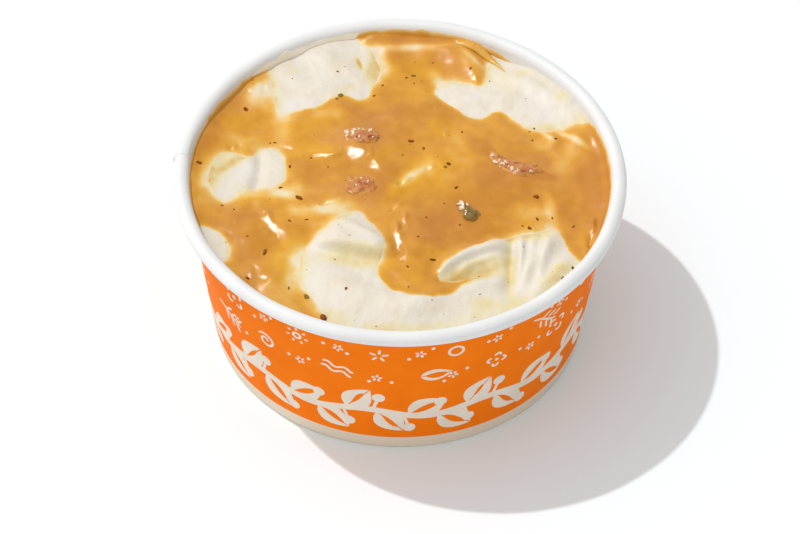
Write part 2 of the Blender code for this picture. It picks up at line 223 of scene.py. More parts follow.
# Where the food climbs the wall: angle, half range of angle, width and height
WALL_RISES = [
    (172, 38, 6, 2), (105, 12, 5, 1.8), (80, 18, 5, 1.9), (38, 20, 5, 1.5), (0, 26, 4, 1),
    (126, 14, 4.5, 0.9),
]

# Deeper and thinner places of the gravy, as lumps added to its height
GRAVY_SWELLS = [
    (2.5, -17, 12, 6, 95, 0.35), (-8, 10, 6, 4, 0, 0.4), (-26, -12, 7, 4, 60, 0.4),
    (14, 31.5, 5, 3, -40, 0.2), (-1.5, -24.5, 4, 5, 0, -0.35), (-33, 22, 8, 8, 0, -0.5),
]

# Where the gravy looks paler (below 0) or browner (above 0), as lumps of colour depth
# Some browner lumps are painted shade, beside two bits and along the left wall.
TONES_AND_SHADE = [
    (-29, 25, 4, 2.5, 60, -1), (-24, 15, 6.5, 1.8, 90, -0.6), (-23, 19, 2.8, 2, 0, -0.6),
    (-16.3, 19.6, 2, 1.5, 0, -0.6), (-12.8, 19.3, 2, 1.5, 0, -0.6), (-13.5, -7, 5, 2, 10, -1.5),
    (-22, -18.5, 4, 3, 0, -0.5), (3, 20, 8, 6, 0, 0.2), (14.5, 35, 5, 3, -40, -0.4),
    # Painted shadow of the green piece: the lump at 15.8, -10.2.
    (-32, 11.5, 4, 2.5, 0, -0.6), (17, -6, 6, 6, 0, 0.4), (15.8, -10.2, 2.6, 1.4, -50, 0.9),
    (-38, -4, 4, 4, 0, -0.4), (-24, -30, 5, 3, -40, -0.5), (3, -24.5, 5, 4, 0, 0.3),
    (31, 4, 3, 3, 0, -0.4), (27, 1, 6, 5, 0, 0.4), (2, 41, 12, 1.8, 4, 0.6),
    (-22, -2.5, 3.2, 2.4, 0, -0.9), (-20, -7.5, 2.4, 2, 0, -0.8), (-28, -3, 6, 1.6, 0, -0.7),
    (1.8, 1.6, 4.5, 1.2, 45, -1), (4.5, 4.5, 6, 3, 60, -0.5), (11.5, 9, 5, 3, -60, -0.6),
    (28.5, 12.5, 2.5, 2, 0, -0.6), (33, 9, 3, 3, 0, -0.6), (25.5, -7, 3.5, 3, 0, -0.7),
    (29.8, -5, 4.5, 1.3, 100, -0.9), (34.5, 13.6, 3.8, 0.8, -38, -1.3), (29.6, 14.4, 2, 0.7, -50, -1.1),
    (1, 38.2, 9, 0.9, 4, -0.9), (27.5, 3.6, 4, 1.3, -15, 0.9), (17.6, 9.8, 1, 2.2, 20, 0.6),
    (14.2, 35.6, 3.2, 0.7, -45, -0.8), (-3.8, 34.5, 4, 1.6, -70, -0.8), (7, 30.8, 3, 1.3, -60, -0.8),
    (-38.8, 1, 3.5, 1.5, 80, -0.7), (-20.6, -23, 5.5, 1.6, 80, -0.8), (-16, -33, 4, 1.5, -45, -0.7),
    (0, 24.5, 11, 4, 0, -0.3), (0, 38.5, 7, 3, 0, -0.4), (10, 31, 3.5, 3, 0, -0.4),
    (-31, 23, 4, 4, 0, -0.3), (-28.5, 11.5, 5, 2.5, 0, -0.3), (-9, 3.5, 4, 3, 0, 0.3),
    (-3, 3, 3, 3, 0, 0.3), (31, 2.5, 3.5, 3, 0, -0.4), (-14, -3, 7, 2.5, 0, -0.3),
    (-34, -4, 6, 3, 0, -0.3), (-29, -17, 6, 4, 0, 0.4), (-31, -24, 4, 4, 0, 0.3),
    (-4, -17, 2, 4, 0, -0.4), (-33, -9, 5, 4, 0, 0.1), (8, -12, 6, 6, 0, 0.5), (-3, 20, 6, 8, 0, 0.3),
    # Painted shade: the first lump, beside the third meat piece, and the last, along the left wall.
    (18, 2, 5, 4, 0, 0.5), (38.5, 2, 10, 3, 90, 0.5), (-38.5, 12, 10, 2.5, 78, 0.5),
    (33.5, -11, 8, 2.2, 100, 0.4),
]

# Where the gravy is yellow gold (above 0) or pinkish tan (below 0)
GOLDS = [
    (-32.5, 17, 2.8, 2.2, 0, 1.3), (-19, 9, 5, 3.5, 0, 0.8), (-20, 16, 4, 3.5, 0, 0.6),
    (8, 16, 2.4, 3, 0, 1.3), (-1, -24.5, 6, 4, 30, 1), (5, 3, 6, 4, 30, 0.6), (1, -2, 5, 3.5, 30, 0.6),
    (-21, -22, 6.5, 3.5, 80, 0.8), (3, 34, 7, 3.5, 0, 0.5), (-28.5, 12, 4, 3, 0, 0.3),
    (-26, -4, 6.5, 2.5, 0, 0.6), (0, 24.5, 9, 4, 0, 0.4), (0, 38.5, 7, 3.5, 0, -1.1),
    (10, 31, 3.5, 3, 0, -0.8), (-31, 23, 4, 4, 0, -0.5), (-25, 11, 3.5, 3, 0, -0.5),
    (31, 2.5, 3.5, 3, 0, -0.5), (-13.5, -3, 7, 3, 0, -0.6), (31, -9, 5, 5, 0, -0.5),
    (10, -18, 4, 3, 0, 0.4), (-31, -3, 5, 3, 0, 0.3), (8, -12, 6.5, 6, 0, -1),
    (-33, -10, 4, 5, 0, -0.7), (-3, 21, 6, 8, 0, -0.5), (-8, 12, 5, 4, 0, -1), (-8, -1, 5, 4, 0, -1),
    (22, 4, 8, 4.5, 0, -1), (39, 0, 12, 4, 90, -0.6), (-6, -5.5, 3, 4, 0, -0.7),
    (22, 14, 5, 4, 0, -0.3), (12, 38, 8, 4, -20, -0.6), (-30, 25, 5, 4, 50, -0.4),
    (31, 8, 5, 8, 0, -0.5),
]

# Where the gravy's edge is soft (above 0) or crisp (below 0)
SOFT_EDGES = [
    (-21, -23, 8, 4, 80, 0.6), (-14.5, -9, 5, 4, 30, 0.6), (-26.5, 27, 8, 4, 90, 0.7),
    (-36, 4, 6, 5, 90, 0.6), (-5, 34, 7, 4, 80, 0.6), (26, -11.5, 7, 3, 0, 0.5), (30, 16, 6, 3, 0, 0.4),
    (11, 30, 4, 3, 0, 0.4), (4, -29, 9, 4, 0, -0.5), (12, 22, 7, 4, -30, -0.6),
    (-13, 23, 9, 3, 15, -0.5), (33, -15, 6, 3, 100, -0.4), (11, -21, 7, 3.5, 35, -0.8),
    (-4, -13, 6, 3, -55, -0.7),
]

# Thin gravy smeared on the mash and painted tan shade in its folds, as lumps from 0 to 1
STAINS_AND_SHADE = [
    # Painted shade: under the front cliff, and in the right valley, partly thin gravy there.
    (-8.5, -20.2, 7.5, 2.4, -4, 0.6), (14.5, -23, 7.5, 2.4, 26, 0.85), (10.5, -26, 3.5, 1.8, 35, 0.5),
    # Painted shade: the first lump, in the groove near x 22.
    (21.8, -22, 6.5, 1.1, 92, 0.65), (18, -32, 8, 2.6, 25, 0.3), (8, -37.5, 5, 2, 5, 0.35),
    (32, -23, 4.5, 2.2, 55, 0.35), (30.5, -24, 5, 1.8, 55, 0.3), (-2, -38.5, 7, 2.4, 0, 0.5),
    (15.5, -30.5, 3.5, 1.6, 0, 0.25), (24, -31, 4, 2, 40, 0.25), (-33, 6, 3.8, 1.1, 50, 0.8),
    (-35.2, 5, 3.2, 1.2, 90, 0.35), (-37, 1, 3, 1.5, 90, 0.4), (-8.7, 34, 1.8, 0.5, -72, 1.3),
    (-22, 31.5, 1.6, 1.2, 0, 0.3), (-11, 26.5, 3.5, 1.6, 30, 0.3), (-5.8, 33, 4.5, 1.6, 75, 0.4),
    (20.5, 30.5, 3.5, 3, 0, 0.2), (24.5, 31.5, 2.2, 1.2, 0, 0.3), (32, 24.5, 2.2, 1.8, 0, 0.35),
    (28.5, 17.2, 3.5, 1.6, 0, 0.35), (37, 19.5, 3.5, 1.6, 0, 0.3), (-16.3, -13, 3, 1.6, 60, 0.4),
    (-12, -35, 3.5, 2, -40, 0.3), (26, -13.6, 4, 1.5, 0, 0.45), (21.8, -13, 1.6, 2.2, 0, 0.4),
    (17.8, 33, 3.5, 0.8, 80, 0.45),
]

# Food on the inner wall: name, colour, thickness, colour depth, and corners of angle and height
WALL_LAYERS = [
    ("gravy_on_wall_left", "gravy", 0.25, 1.5, [
        (208, 32), (207, 37.9), (198, 38.7), (190, 38.6), (182, 38.7), (175, 38.6),
        (170, 38.3), (165, 38.2), (160, 38.5), (155, 38.6), (150, 38.3), (145, 38.2),
        (141.5, 38.3), (139, 38.4), (136.5, 37.9), (133.5, 37.4), (131, 36), (131, 32)]),
    ("film_on_wall", "film", 0.1, 0, [
        (137, 34.5), (136, 37.8), (130, 38.5), (125, 38.7), (119, 38.6), (113, 38.8),
        (107, 38.8), (102, 38.7), (101, 36), (106, 35), (113, 34.6), (125, 34.4)]),
    ("gravy_on_wall_back", "gravy", 0.25, 1.5, [
        (104, 32.5), (103.6, 36), (102.5, 38.4), (98, 38.9), (92, 39.1), (86, 39),
        (80, 39), (74, 38.9), (70, 38.6), (66, 38.2), (62, 37.6), (58.5, 36.9),
        (56.5, 36.2), (60, 35.5), (66, 34.5), (70, 32.5)]),
    ("gravy_on_wall_right", "gravy", 0.25, 1.7, [
        (28.5, 32.5), (27, 36.5), (23, 38), (18, 38.6), (10, 38.8), (0, 38.7),
        (-10, 38.7), (-18, 38.4), (-24, 37.2), (-27, 35.5), (-29, 32.5)]),
]

# Ripples on the gravy, steep towards the front left
RIPPLES = [
    ((-18, 7.6), (-3, 3.4), 2.2, 0.55, 3, 1.5), ((2.4, -8), (3, -21), -0.6, 0.3, 4, 2.6),
    ((-24.8, -6.5), (-21, -17), 0.5, 0.3, 3.5, 2), ((-18, -4.4), (-11, -3.8), 0.3, 0.4, 2.5, 1.3),
    ((-29.5, -21), (-24, -27.5), 0.4, 0.5, 2.5, 1.6), ((-2, 38.3), (13, 36.6), 1, 0.35, 1.6, 2),
    ((12.5, 36.8), (16.6, 30.5), 1.2, 0.3, 1, 1.8), ((29, 16), (31, 11.5), 0.3, 0.4, 1, 1.2),
    ((33, 15.5), (37, 12), 0.3, 0.2, 1, 1.2),
]

# Highlights, as facets that mirror the light: x, y, full length, full width, turn
GLINTS = [
    (-8.9, 7.6, 5, 2.7, -14), (-5.5, 5.7, 3.4, 0.8, -42), (-15, 7.2, 6.2, 0.9, 2),
    (-4.3, 9.9, 1.2, 0.8, -60), (-16, 14.4, 1.1, 0.9, -60), (-14.5, 12.3, 1.5, 0.8, -10),
    (-22.4, 10.2, 2.2, 1.2, -40), (-33.6, 9.6, 1.6, 0.8, 50), (-32, 10.9, 1.2, 0.8, 30),
    (8.6, 13.8, 1.6, 0.6, 70), (5.9, 4.4, 1.5, 1.2, 60), (7.6, 5.5, 1, 0.7, 50),
    (0.7, 0.3, 2.6, 0.7, 42), (-0.9, -7, 2.8, 0.5, 45), (0.8, -11.1, 3.8, 1, 80),
    (-0.3, -15.9, 5.8, 1.7, 96), (0.3, -20, 1.8, 0.7, 98), (-27.1, -8.2, 1.8, 1.4, 100),
    (-25.3, -11.7, 6.4, 2, 118), (-17, -6.4, 1.6, 0.4, 10), (-13.8, -5.5, 4, 0.8, 14),
    (-28.4, -22.4, 2, 0.8, 115), (-26.3, -25.6, 1.8, 1.2, 125), (-29.2, -24.8, 2, 0.5, 80),
    (-11.4, -2.8, 1.1, 0.6, 60), (-39.4, 0.6, 1.1, 0.8, 90), (-39.8, -4.6, 0.9, 0.8, 90),
    (-36.6, -8.4, 0.9, 0.7, 90), (-27.3, 26.4, 1.5, 0.7, 20), (-27.6, 28.4, 1.1, 0.6, 20),
    (-29.8, 28.8, 1.2, 0.5, 100), (-30.6, 25.6, 1.1, 0.5, 60), (-25.2, 26.8, 1, 0.5, 90),
    (38, -12.4, 6, 0.7, 82), (-20, -2.4, 1.1, 0.5, 100), (-13.4, -10.2, 2.2, 0.5, 4),
    (-32.6, -11, 1.5, 0.7, 90), (6.6, 21.6, 0.8, 0.4, 70), (35.4, 11.4, 0.8, 0.5, 20),
]

# Bits in the gravy: replaced node, then x, y, half length, half width, half height, turn, bend
MEAT = [
    ("meat_piece_1", (-7.5, 12.3, 4.1, 2.9, 1.2, -8, 0.3)),
    ("meat_piece_2", (-8, -1, 3.8, 3.2, 1.1, -20, 0.2)),
    ("meat_piece_3", (22.8, 6, 6.8, 2.2, 1.2, -24.6, 2.2)),
]
GREEN = ("green_piece", (13.6, -7.8, 3.5, 2, 1.9, -48, 0.3))

# Wet specks of fat that catch the light: x, y, size
SPARKLES = [
    (-10.4, 13.6, 1.5), (-9.7, 12.4, 1.1), (-9, 14.3, 1), (-10.6, 11.9, 0.9), (-6.2, 13.8, 0.8),
    (-7.6, 13.9, 0.5), (-8.4, 11.3, 0.6), (-5.6, 11.4, 0.5), (-9.5, 0.3, 0.6), (-7.7, 0.8, 0.5),
    (-8.6, -1.2, 0.5), (-6.5, -0.4, 0.5), (18.3, 8.6, 0.9), (18.9, 6.8, 1.3), (20.2, 5.7, 1.2),
    (20.9, 6.4, 0.7), (22.2, 4.4, 1.1), (23.6, 3.9, 0.8), (26, 3.9, 0.8), (21.6, 5.2, 0.5),
    (12.1, -5.7, 1.5), (12.4, -7.2, 1.6), (13, -8.5, 1.1), (13.2, -6.2, 0.8),
]

# Large flecks of herb and pepper: x, y, size, and 1 if green
FLECKS = [
    (-40.2, 4.6, 1.5, 0), (2, 11.8, 1.4, 0), (9.6, 5.6, 1.3, 0), (8.9, 4.7, 1, 1), (-20, -4.4, 1.7, 0),
    (-20.4, -3.9, 0.8, 1), (-21.7, -10.9, 1, 0), (13.9, 33, 0.9, 0), (2.3, 31.4, 1.1, 1),
    (-31.3, 21, 1.3, 0), (27, -2.5, 1.4, 0), (6.6, -20.7, 1.4, 0), (25.7, -11, 1.2, 0),
    (32.2, -23.8, 1, 1), (-10.2, -28.7, 1.1, 0), (-17.9, -29.8, 1.5, 1), (-14.7, -35.1, 1.8, 0),
    (-26.4, -18.7, 1.7, 0), (-29.6, -25.4, 1, 0), (-4.9, 11.6, 1.1, 0), (-25.1, 11.8, 1, 0),
    (-22, 4.4, 1.1, 0), (-23.7, -1.4, 1.1, 0), (-18.3, -10.5, 0.8, 0), (-21.5, -27.7, 0.8, 1),
    (1.7, -22.6, 0.8, 0), (11.1, -1, 0.9, 0), (5.3, -9.8, 0.7, 0), (30.9, 13.7, 0.9, 0),
    (4.6, 9.8, 0.9, 0), (12.2, 14.8, 0.8, 0), (26.3, 13.5, 0.8, 1), (-12.3, 24.7, 1.6, 1),
    (-13, 23.6, 0.9, 1), (27.2, -8.6, 0.9, 0), (34.4, -10.1, 0.8, 0), (-32.8, -7.4, 0.7, 0),
    (-35.2, -6.2, 0.7, 0), (34.2, -21.2, 1.1, 0), (-5.5, 25, 0.7, 0), (-3.8, 28, 0.7, 0),
    (2.5, 29.2, 0.5, 1), (0.9, 30.6, 0.6, 0), (3.7, -15.2, 0.6, 0), (24.3, -10.6, 0.7, 1),
    (30.2, -8.1, 0.8, 1), (-23.5, 11, 0.5, 0), (-10.8, 0.4, 0.6, 0),
]

# Strand of gravy across the bare mash: x, y, height over the food, half width
STRAND = [
    (9.5, 40.4, -0.6, 1), (12.8, 39.4, -0.1, 1.1), (15.6, 38, 0.2, 1.1), (17.8, 36.2, 0.2, 1),
    (19.6, 34.2, 0.1, 0.8), (21.2, 31.9, 0, 0.45),
]


# -------- shapes

def smooth_step(low, high, value):
    """Rise from 0 to 1 between two limits, with a level start and end."""
    part = np.clip((value - low) / (high - low), 0.0, 1.0)
    return part * part * (3.0 - 2.0 * part)


def along_and_across(x, y, turn):
    """Distances along and across a direction."""
    cos_turn = math.cos(math.radians(turn))
    sin_turn = math.sin(math.radians(turn))
    return x * cos_turn + y * sin_turn, y * cos_turn - x * sin_turn


def lump(x, y, middle_x, middle_y, half_length, half_width, turn, height):
    """A rounded lump with a flat top, as a height at each point."""
    along, across = along_and_across(x - middle_x, y - middle_y, turn)
    return height * np.exp(-((along / half_length) ** 2 + (across / half_width) ** 2) ** 1.5)


def fold(x, y, start, end, arch, height, left_width, right_width):
    """A ridge along an arched line, or a groove if the height is negative."""
    run_x = end[0] - start[0]
    run_y = end[1] - start[1]
    turn = math.degrees(math.atan2(run_y, run_x))
    along, side = along_and_across(x - start[0], y - start[1], turn)
    part = along / math.hypot(run_x, run_y)
    side = side - arch * (1.0 - (2.0 * part - 1.0) ** 2)
    ends = smooth_step(-0.15, 0.25, part) * smooth_step(-0.15, 0.25, 1.0 - part)
    width = np.where(side > 0.0, left_width, right_width)
    return height * ends * np.exp(-(side / width) ** 2)


def total(shape, table, x, y):
    """Sum of one kind of shape over a table of its values."""
    return sum((shape(x, y, *values) for values in table), 0.0 * x)


def wobble(x, y, size, seed, height):
    """Smooth noise, with bumps of a height about a size apart."""
    return height * np.array([noise.noise((a / size, b / size, seed)) for a, b in zip(x, y)])


def polar(reach, angle):
    """Point at a distance and an angle in radians."""
    return Vector((reach * math.cos(angle), reach * math.sin(angle)))


def circle(radius, steps):
    """Points evenly round a circle."""
    return [polar(radius, math.tau * index / steps) for index in range(steps)]


def closed_curve(corners, step):
    """Smooth closed curve through the corners, with points about a step apart."""
    points = []
    for index in range(len(corners)):
        p0, p1, p2, p3 = (Vector(corners[(index + k) % len(corners)]) for k in (-1, 0, 1, 2))
        pieces = max(1, round((p2 - p1).length / step))
        for piece in range(pieces):
            t = piece / pieces
            ahead = (p2 - p0) * t
            bend = (2 * p0 - 5 * p1 + 4 * p2 - p3) * t ** 2 + (3 * p1 - p0 - 3 * p2 + p3) * t ** 3
            points.append(p1 + (ahead + bend) / 2)
    return points


def depth_in(x, y, loop):
    """Distance of each point from a closed loop, above 0 inside it and below 0 outside."""
    nearest = np.full(np.shape(x), 1000.0)
    within = np.zeros(np.shape(x), bool)
    for a, b in zip(loop, loop[1:] + loop[:1]):
        run_x = b[0] - a[0]
        run_y = b[1] - a[1]
        part = ((x - a[0]) * run_x + (y - a[1]) * run_y) / max(run_x ** 2 + run_y ** 2, 1e-9)
        part = np.clip(part, 0.0, 1.0)
        nearest = np.minimum(nearest, np.hypot(x - a[0] - part * run_x, y - a[1] - part * run_y))
        crosses = (a[1] > y) != (b[1] > y)
        within ^= crosses & (x < run_x * (y - a[1]) / (run_y or 1.0) + a[0])
    return np.where(within, nearest, -nearest)


def triangulate(outer, holes, spacing):
    """Net of even triangles inside a loop, with edges along every hole's outline.

    Returns the points, the faces, and for each face whether it lies in a hole.
    """
    loops = [outer] + holes
    fixed = [Vector(point) for loop in loops for point in loop]
    edges = []
    for loop in loops:
        first = len(edges)
        edges += [(first + index, first + (index + 1) % len(loop)) for index in range(len(loop))]
    corners = np.array([tuple(point) for point in outer])
    low = corners.min(axis=0)
    size = corners.max(axis=0) - low
    step = spacing * math.sqrt(3) / 2
    counts = (int(size[0] / spacing) + 1, int(size[1] / step) + 1)
    column, row = (values.ravel() for values in np.meshgrid(*map(np.arange, counts)))
    x = low[0] + (column + 0.5 * (row % 2) + 0.13) * spacing
    y = low[1] + (row + 0.17) * step
    clear = depth_in(x, y, outer) > spacing * 0.5
    for loop in holes:
        clear &= abs(depth_in(x, y, loop)) > spacing * 0.5
    free = [Vector(point) for point in zip(x[clear], y[clear])]
    result = delaunay_2d_cdt(fixed + free, edges, [], 0, 0.0001)
    points = np.array([tuple(point) for point in result[0]])
    faces = np.array(result[2])
    x, y = points[faces].mean(axis=1).T
    kept = depth_in(x, y, outer) > 0.0
    in_hole = np.zeros(len(faces), bool)
    for loop in holes:
        in_hole |= depth_in(x, y, loop) > 0.0
    return points, faces[kept], in_hole[kept]


def outer_edges(faces):
    """Edges that belong to one face only, in that face's direction."""
    edges = {edge for face in faces for edge in zip(face, face[1:] + face[:1])}
    return [(a, b) for a, b in sorted(edges) if (b, a) not in edges]


def closed_layer(faces, top, bottom):
    """Closed mesh between two places of each point of a net, and the point of each vertex."""
    used, corners = np.unique(faces, return_inverse=True)
    corners = corners.reshape(faces.shape).tolist()
    count = len(used)
    sides = [[b, a, a + count, b + count] for a, b in outer_edges(corners)]
    below = [[corner + count for corner in reversed(face)] for face in corners]
    verts = np.vstack([top[used], bottom[used]]).tolist()
    return (verts, corners + below + sides), np.concatenate([used, used])


def on_cylinder(angle, radius, height):
    """Points at angles in radians, radii and heights round the Z axis."""
    return np.stack([radius * np.cos(angle), radius * np.sin(angle), height], axis=-1)


def directions(line):
    """Direction of a line at each of its points."""
    neighbours = zip(line[:1] + line, line[1:] + line[-1:])
    return [(after - before).normalized() for before, after in neighbours]


def both_sides(line, sides):
    """Closed outline that runs a vector to both sides of each point of a line."""
    left = [point + side for point, side in zip(line, sides)]
    right = [point - side for point, side in zip(line, sides)]
    return left + right[::-1]


def sheet_outline(centreline, thickness):
    """Closed outline of a sheet of even thickness along a line of (radius, height) points."""
    line = [Vector(point) for point in centreline]
    ways = [(after - before).normalized() for before, after in zip(line, line[1:])]
    sides = []
    for before, after in zip(ways[:1] + ways, ways + ways[-1:]):
        along = (before + after).normalized()
        sides.append(along.orthogonal() * (thickness / 2 / max(along.dot(after), 0.5)))
    return both_sides(line, sides)


def tube_faces(loops, sides, wraps=False):
    """Faces between a row of equal loops of vertices, whose ends may meet."""
    faces = []
    for loop in range(loops if wraps else loops - 1):
        here = loop * sides
        beyond = (loop + 1) % loops * sides
        for side in range(sides):
            after = (side + 1) % sides
            faces.append([here + side, here + after, beyond + after, beyond + side])
    return faces


def turned(outline_at, angles):
    """Mesh made by carrying a closed (radius, height) outline round the Z axis."""
    verts = []
    for angle in angles:
        cos_angle = math.cos(math.radians(angle))
        sin_angle = math.sin(math.radians(angle))
        verts += [(r * cos_angle, r * sin_angle, z) for r, z in outline_at(angle)]
    return verts, tube_faces(len(angles), len(verts) // len(angles), wraps=True)


def stacked(loops):
    """Closed mesh through a stack of equal loops of points."""
    sides = len(loops[0])
    verts = [tuple(point) for loop in loops for point in loop]
    ends = [list(range(sides)), list(range(len(verts) - sides, len(verts)))[::-1]]
    return verts, ends + tube_faces(len(loops), sides)


def joined(meshes):
    """Many small meshes as one."""
    verts = []
    faces = []
    for new_verts, new_faces in meshes:
        faces += [[corner + len(verts) for corner in face] for face in new_faces]
        verts += new_verts
    return verts, faces


# -------- pieces

def new_object(name, data):
    """Object in the scene for a mesh, a light or a camera."""
    made = bpy.data.objects.new(name, data)
    bpy.context.scene.collection.objects.link(made)
    return made


def make_piece(name, verts_and_faces, material, slot, replaced=(), smooth_angle=60.0, **values):
    """A closed mesh piece that rides on the model's one body.

    Values are named lists of a number for each vertex, which its material reads.
    """
    verts, faces = verts_and_faces
    mesh = bpy.data.meshes.new(name)
    mesh.from_pydata((np.asarray(verts) * MM).tolist(), [], faces)
    build = bmesh.new()
    build.from_mesh(mesh)
    bmesh.ops.recalc_face_normals(build, faces=build.faces)
    build.to_mesh(mesh)
    build.free()
    mesh.materials.append(material)
    mesh.shade_smooth()
    if smooth_angle < 180.0:
        mesh.set_sharp_from_angle(angle=math.radians(smooth_angle))
    piece = new_object(name, mesh)
    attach(piece, "root")
    if replaced:
        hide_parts(*replaced)
    for key, numbers in values.items():
        attribute = mesh.attributes.new(key, "FLOAT", "POINT")
        attribute.data.foreach_set("value", np.asarray(numbers, dtype=np.float32))


# -------- materials

def srgb(red, green, blue):
    """Screen colour from 0 to 255 as the linear colour that a shader takes."""
    screen = [value / 255.0 for value in (red, green, blue)]
    light = [value / 12.92 if value <= 0.04045 else ((value + 0.055) / 1.055) ** 2.4
             for value in screen]
    return (*(value * REFLECTED for value in light), 1.0)


def add_node(tree, kind, inputs=(), output=0, **settings):
    """Add a node, set it, link or set its inputs, and return one of its outputs."""
    node = tree.nodes.new(kind)
    for key, value in settings.items():
        setattr(node, key, value)
    for key, value in dict(inputs).items():
        if isinstance(value, bpy.types.NodeSocket):
            tree.links.new(value, node.inputs[key])
        else:
            node.inputs[key].default_value = value
    return node.outputs[output]


def noise_node(tree, size, detail=3.0, roughness=0.5, offset=0.0):
    """Noise over the piece's own space, with bumps about a size apart."""
    place = add_node(tree, "ShaderNodeTexCoord", output="Object")
    shifted = add_node(tree, "ShaderNodeMapping", {"Vector": place, "Location": (offset,) * 3})
    return add_node(tree, "ShaderNodeTexNoise", {
        "Vector": shifted, "Scale": 1.0 / (size * MM), "Detail": detail, "Roughness": roughness})


def ramp_node(tree, value, *stops):
    """Colour ramp over a value, from stops of position, red, green and blue."""
    colour = add_node(tree, "ShaderNodeValToRGB", {"Fac": value})
    elements = colour.node.color_ramp.elements
    while len(elements) < len(stops):
        elements.new(0.5)
    for element, (position, *screen_colour) in zip(elements, stops):
        element.position = position
        element.color = srgb(*screen_colour)
    return colour


def mix_node(tree, factor, first, second):
    """Mix of two colours."""
    inputs = {0: factor, 6: first, 7: second}
    return add_node(tree, "ShaderNodeMix", inputs, output=2, data_type="RGBA")


def math_node(tree, operation, first, second, clamp=False):
    """Sum or product of two values."""
    inputs = {0: first, 1: second}
    return add_node(tree, "ShaderNodeMath", inputs, operation=operation, use_clamp=clamp)


def range_node(tree, value, low, high, new_low=0.0, new_high=1.0):
    """Value carried from one range to another, and held at its ends."""
    return add_node(tree, "ShaderNodeMapRange", {
        "Value": value, "From Min": low, "From Max": high, "To Min": new_low, "To Max": new_high})


def stored(tree, name):
    """Number that make_piece stored at each vertex."""
    return add_node(tree, "ShaderNodeAttribute", output="Fac", attribute_name=name)


def new_material(name, colour_of=None, grains=(), **sockets):
    """Material with one Principled shader, whose sockets are set by name.

    A function of the node tree gives its colour. A grain is a bump's depth and then its noise.
    """
    material = bpy.data.materials.new(name)
    material.use_nodes = True
    tree = material.node_tree
    shader = tree.nodes["Principled BSDF"]
    for socket, value in sockets.items():
        shader.inputs[socket.replace("_", " ")].default_value = value
    if colour_of:
        tree.links.new(colour_of(tree), shader.inputs["Base Color"])
    below = {}
    for depth, *size in grains:
        height = {"Height": noise_node(tree, *size), "Distance": depth * MM, "Strength": 1.0}
        below = {"Normal": add_node(tree, "ShaderNodeBump", {**height, **below})}
        tree.links.new(below["Normal"], shader.inputs["Normal"])
    return material


def clouds(size, *stops):
    """Colour function of soft clouds between the stops."""
    return lambda tree: ramp_node(tree, noise_node(tree, *size), *stops)


def paper_material():
    """White coated board with fibres and a soft sheen; painted orange bounce light on its foot."""
    def colour(tree):
        white = clouds((9, 4), (0.3, 226, 225, 224), (0.7, 234, 233, 231))(tree)
        place = add_node(tree, "ShaderNodeTexCoord", output="Object")
        height = add_node(tree, "ShaderNodeSeparateXYZ", {"Vector": place}, output="Z")
        # Painted bounce light: below the print the board turns warm cream, as if lit by the orange ink.
        foot = range_node(tree, height, PRINT_LOW * MM, (PRINT_LOW + 1.0) * MM, 1.0, 0.0)
        return mix_node(tree, foot, white, srgb(232, 214, 192))

    grain = (0.02, 0.5, 5, 0.6)
    return new_material("white_board", colour, [grain], Roughness=0.5, Specular_IOR_Level=0.35)


def orange_material():
    """Flat orange ink on board, a little uneven."""
    colour = clouds((6, 5), (0.3, 248, 119, 12), (0.7, 253, 127, 16))
    grain = (0.02, 0.45, 5, 0.6, 3)
    return new_material("orange_print", colour, [grain], Roughness=0.5, Specular_IOR_Level=0.02)


def cream_material():
    """Cream motifs, where the ink leaves the board bare."""
    colour = clouds((4, 5, 0.5, 7), (0.3, 232, 218, 200), (0.7, 240, 229, 214))
    grain = (0.02, 0.45, 5, 0.6, 3)
    return new_material("cream_print", colour, [grain], Roughness=0.6, Specular_IOR_Level=0.15)


def mash_material():
    """Off-white moist mash with gravy stains, painted tan shade in its folds, and a fine grain."""
    def colour(tree):
        clean = clouds((6, 4), (0.32, 225, 212, 191), (0.5, 227, 217, 201), (0.68, 228, 220, 209))
        patchy = range_node(tree, noise_node(tree, 2.6, 4, 0.5, 5), 0.3, 0.7, 0.55, 1.15)
        amount = math_node(tree, "MULTIPLY", stored(tree, "stain"), patchy)
        stained = ramp_node(
            tree, amount, (0, 227, 217, 201), (0.35, 227, 213, 172), (0.7, 220, 194, 132),
            (1, 210, 170, 98))
        return mix_node(tree, range_node(tree, amount, 0.0, 0.25), clean(tree), stained)

    return new_material(
        "mash", colour, [(0.1, 0.6, 4, 0.65)],
        Roughness=0.5, Specular_IOR_Level=0.3, Coat_Weight=0.05, Coat_Roughness=0.3)


def gravy_material():
    """Glossy gravy: pale where it is thin, golden brown where it is deep or in painted shade."""
    def colour(tree):
        cloud = range_node(tree, noise_node(tree, 7), 0.25, 0.75, -0.3, 0.3)
        kind = range_node(tree, math_node(tree, "ADD", stored(tree, "gold"), cloud), -1.3, 0.7)
        uneven = range_node(tree, noise_node(tree, 3, 4, 0.5, 2), 0.25, 0.75, -0.4, 0.4)
        depth = math_node(tree, "ADD", stored(tree, "depth"), uneven)
        part = range_node(tree, depth, 0.0, 2.8)
        golden = ramp_node(
            tree, part, (0, 231, 214, 178), (0.12, 231, 204, 146), (0.32, 230, 181, 82),
            (0.6, 220, 156, 28), (0.95, 200, 132, 16))
        tan = ramp_node(
            tree, part, (0, 231, 214, 184), (0.12, 232, 196, 134), (0.32, 227, 170, 86),
            (0.6, 212, 145, 56), (0.95, 193, 123, 40))
        return mix_node(tree, kind, tan, golden)

    return new_material(
        "gravy", colour, [(0.06, 2.2, 2, 0.5, 4), (0.03, 0.45, 2, 0.5, 9)], Roughness=0.4,
        Specular_IOR_Level=0.08, Coat_Weight=0.8, Coat_Roughness=0.26, Coat_IOR=1.45)


def film_material():
    """Dried trace of gravy on the wall."""
    colour = clouds((3, 4, 0.5, 6), (0.3, 252, 244, 230), (0.7, 252, 238, 212))
    return new_material("gravy_film", colour, [(0.05, 1)], Roughness=0.4, Specular_IOR_Level=0.3)


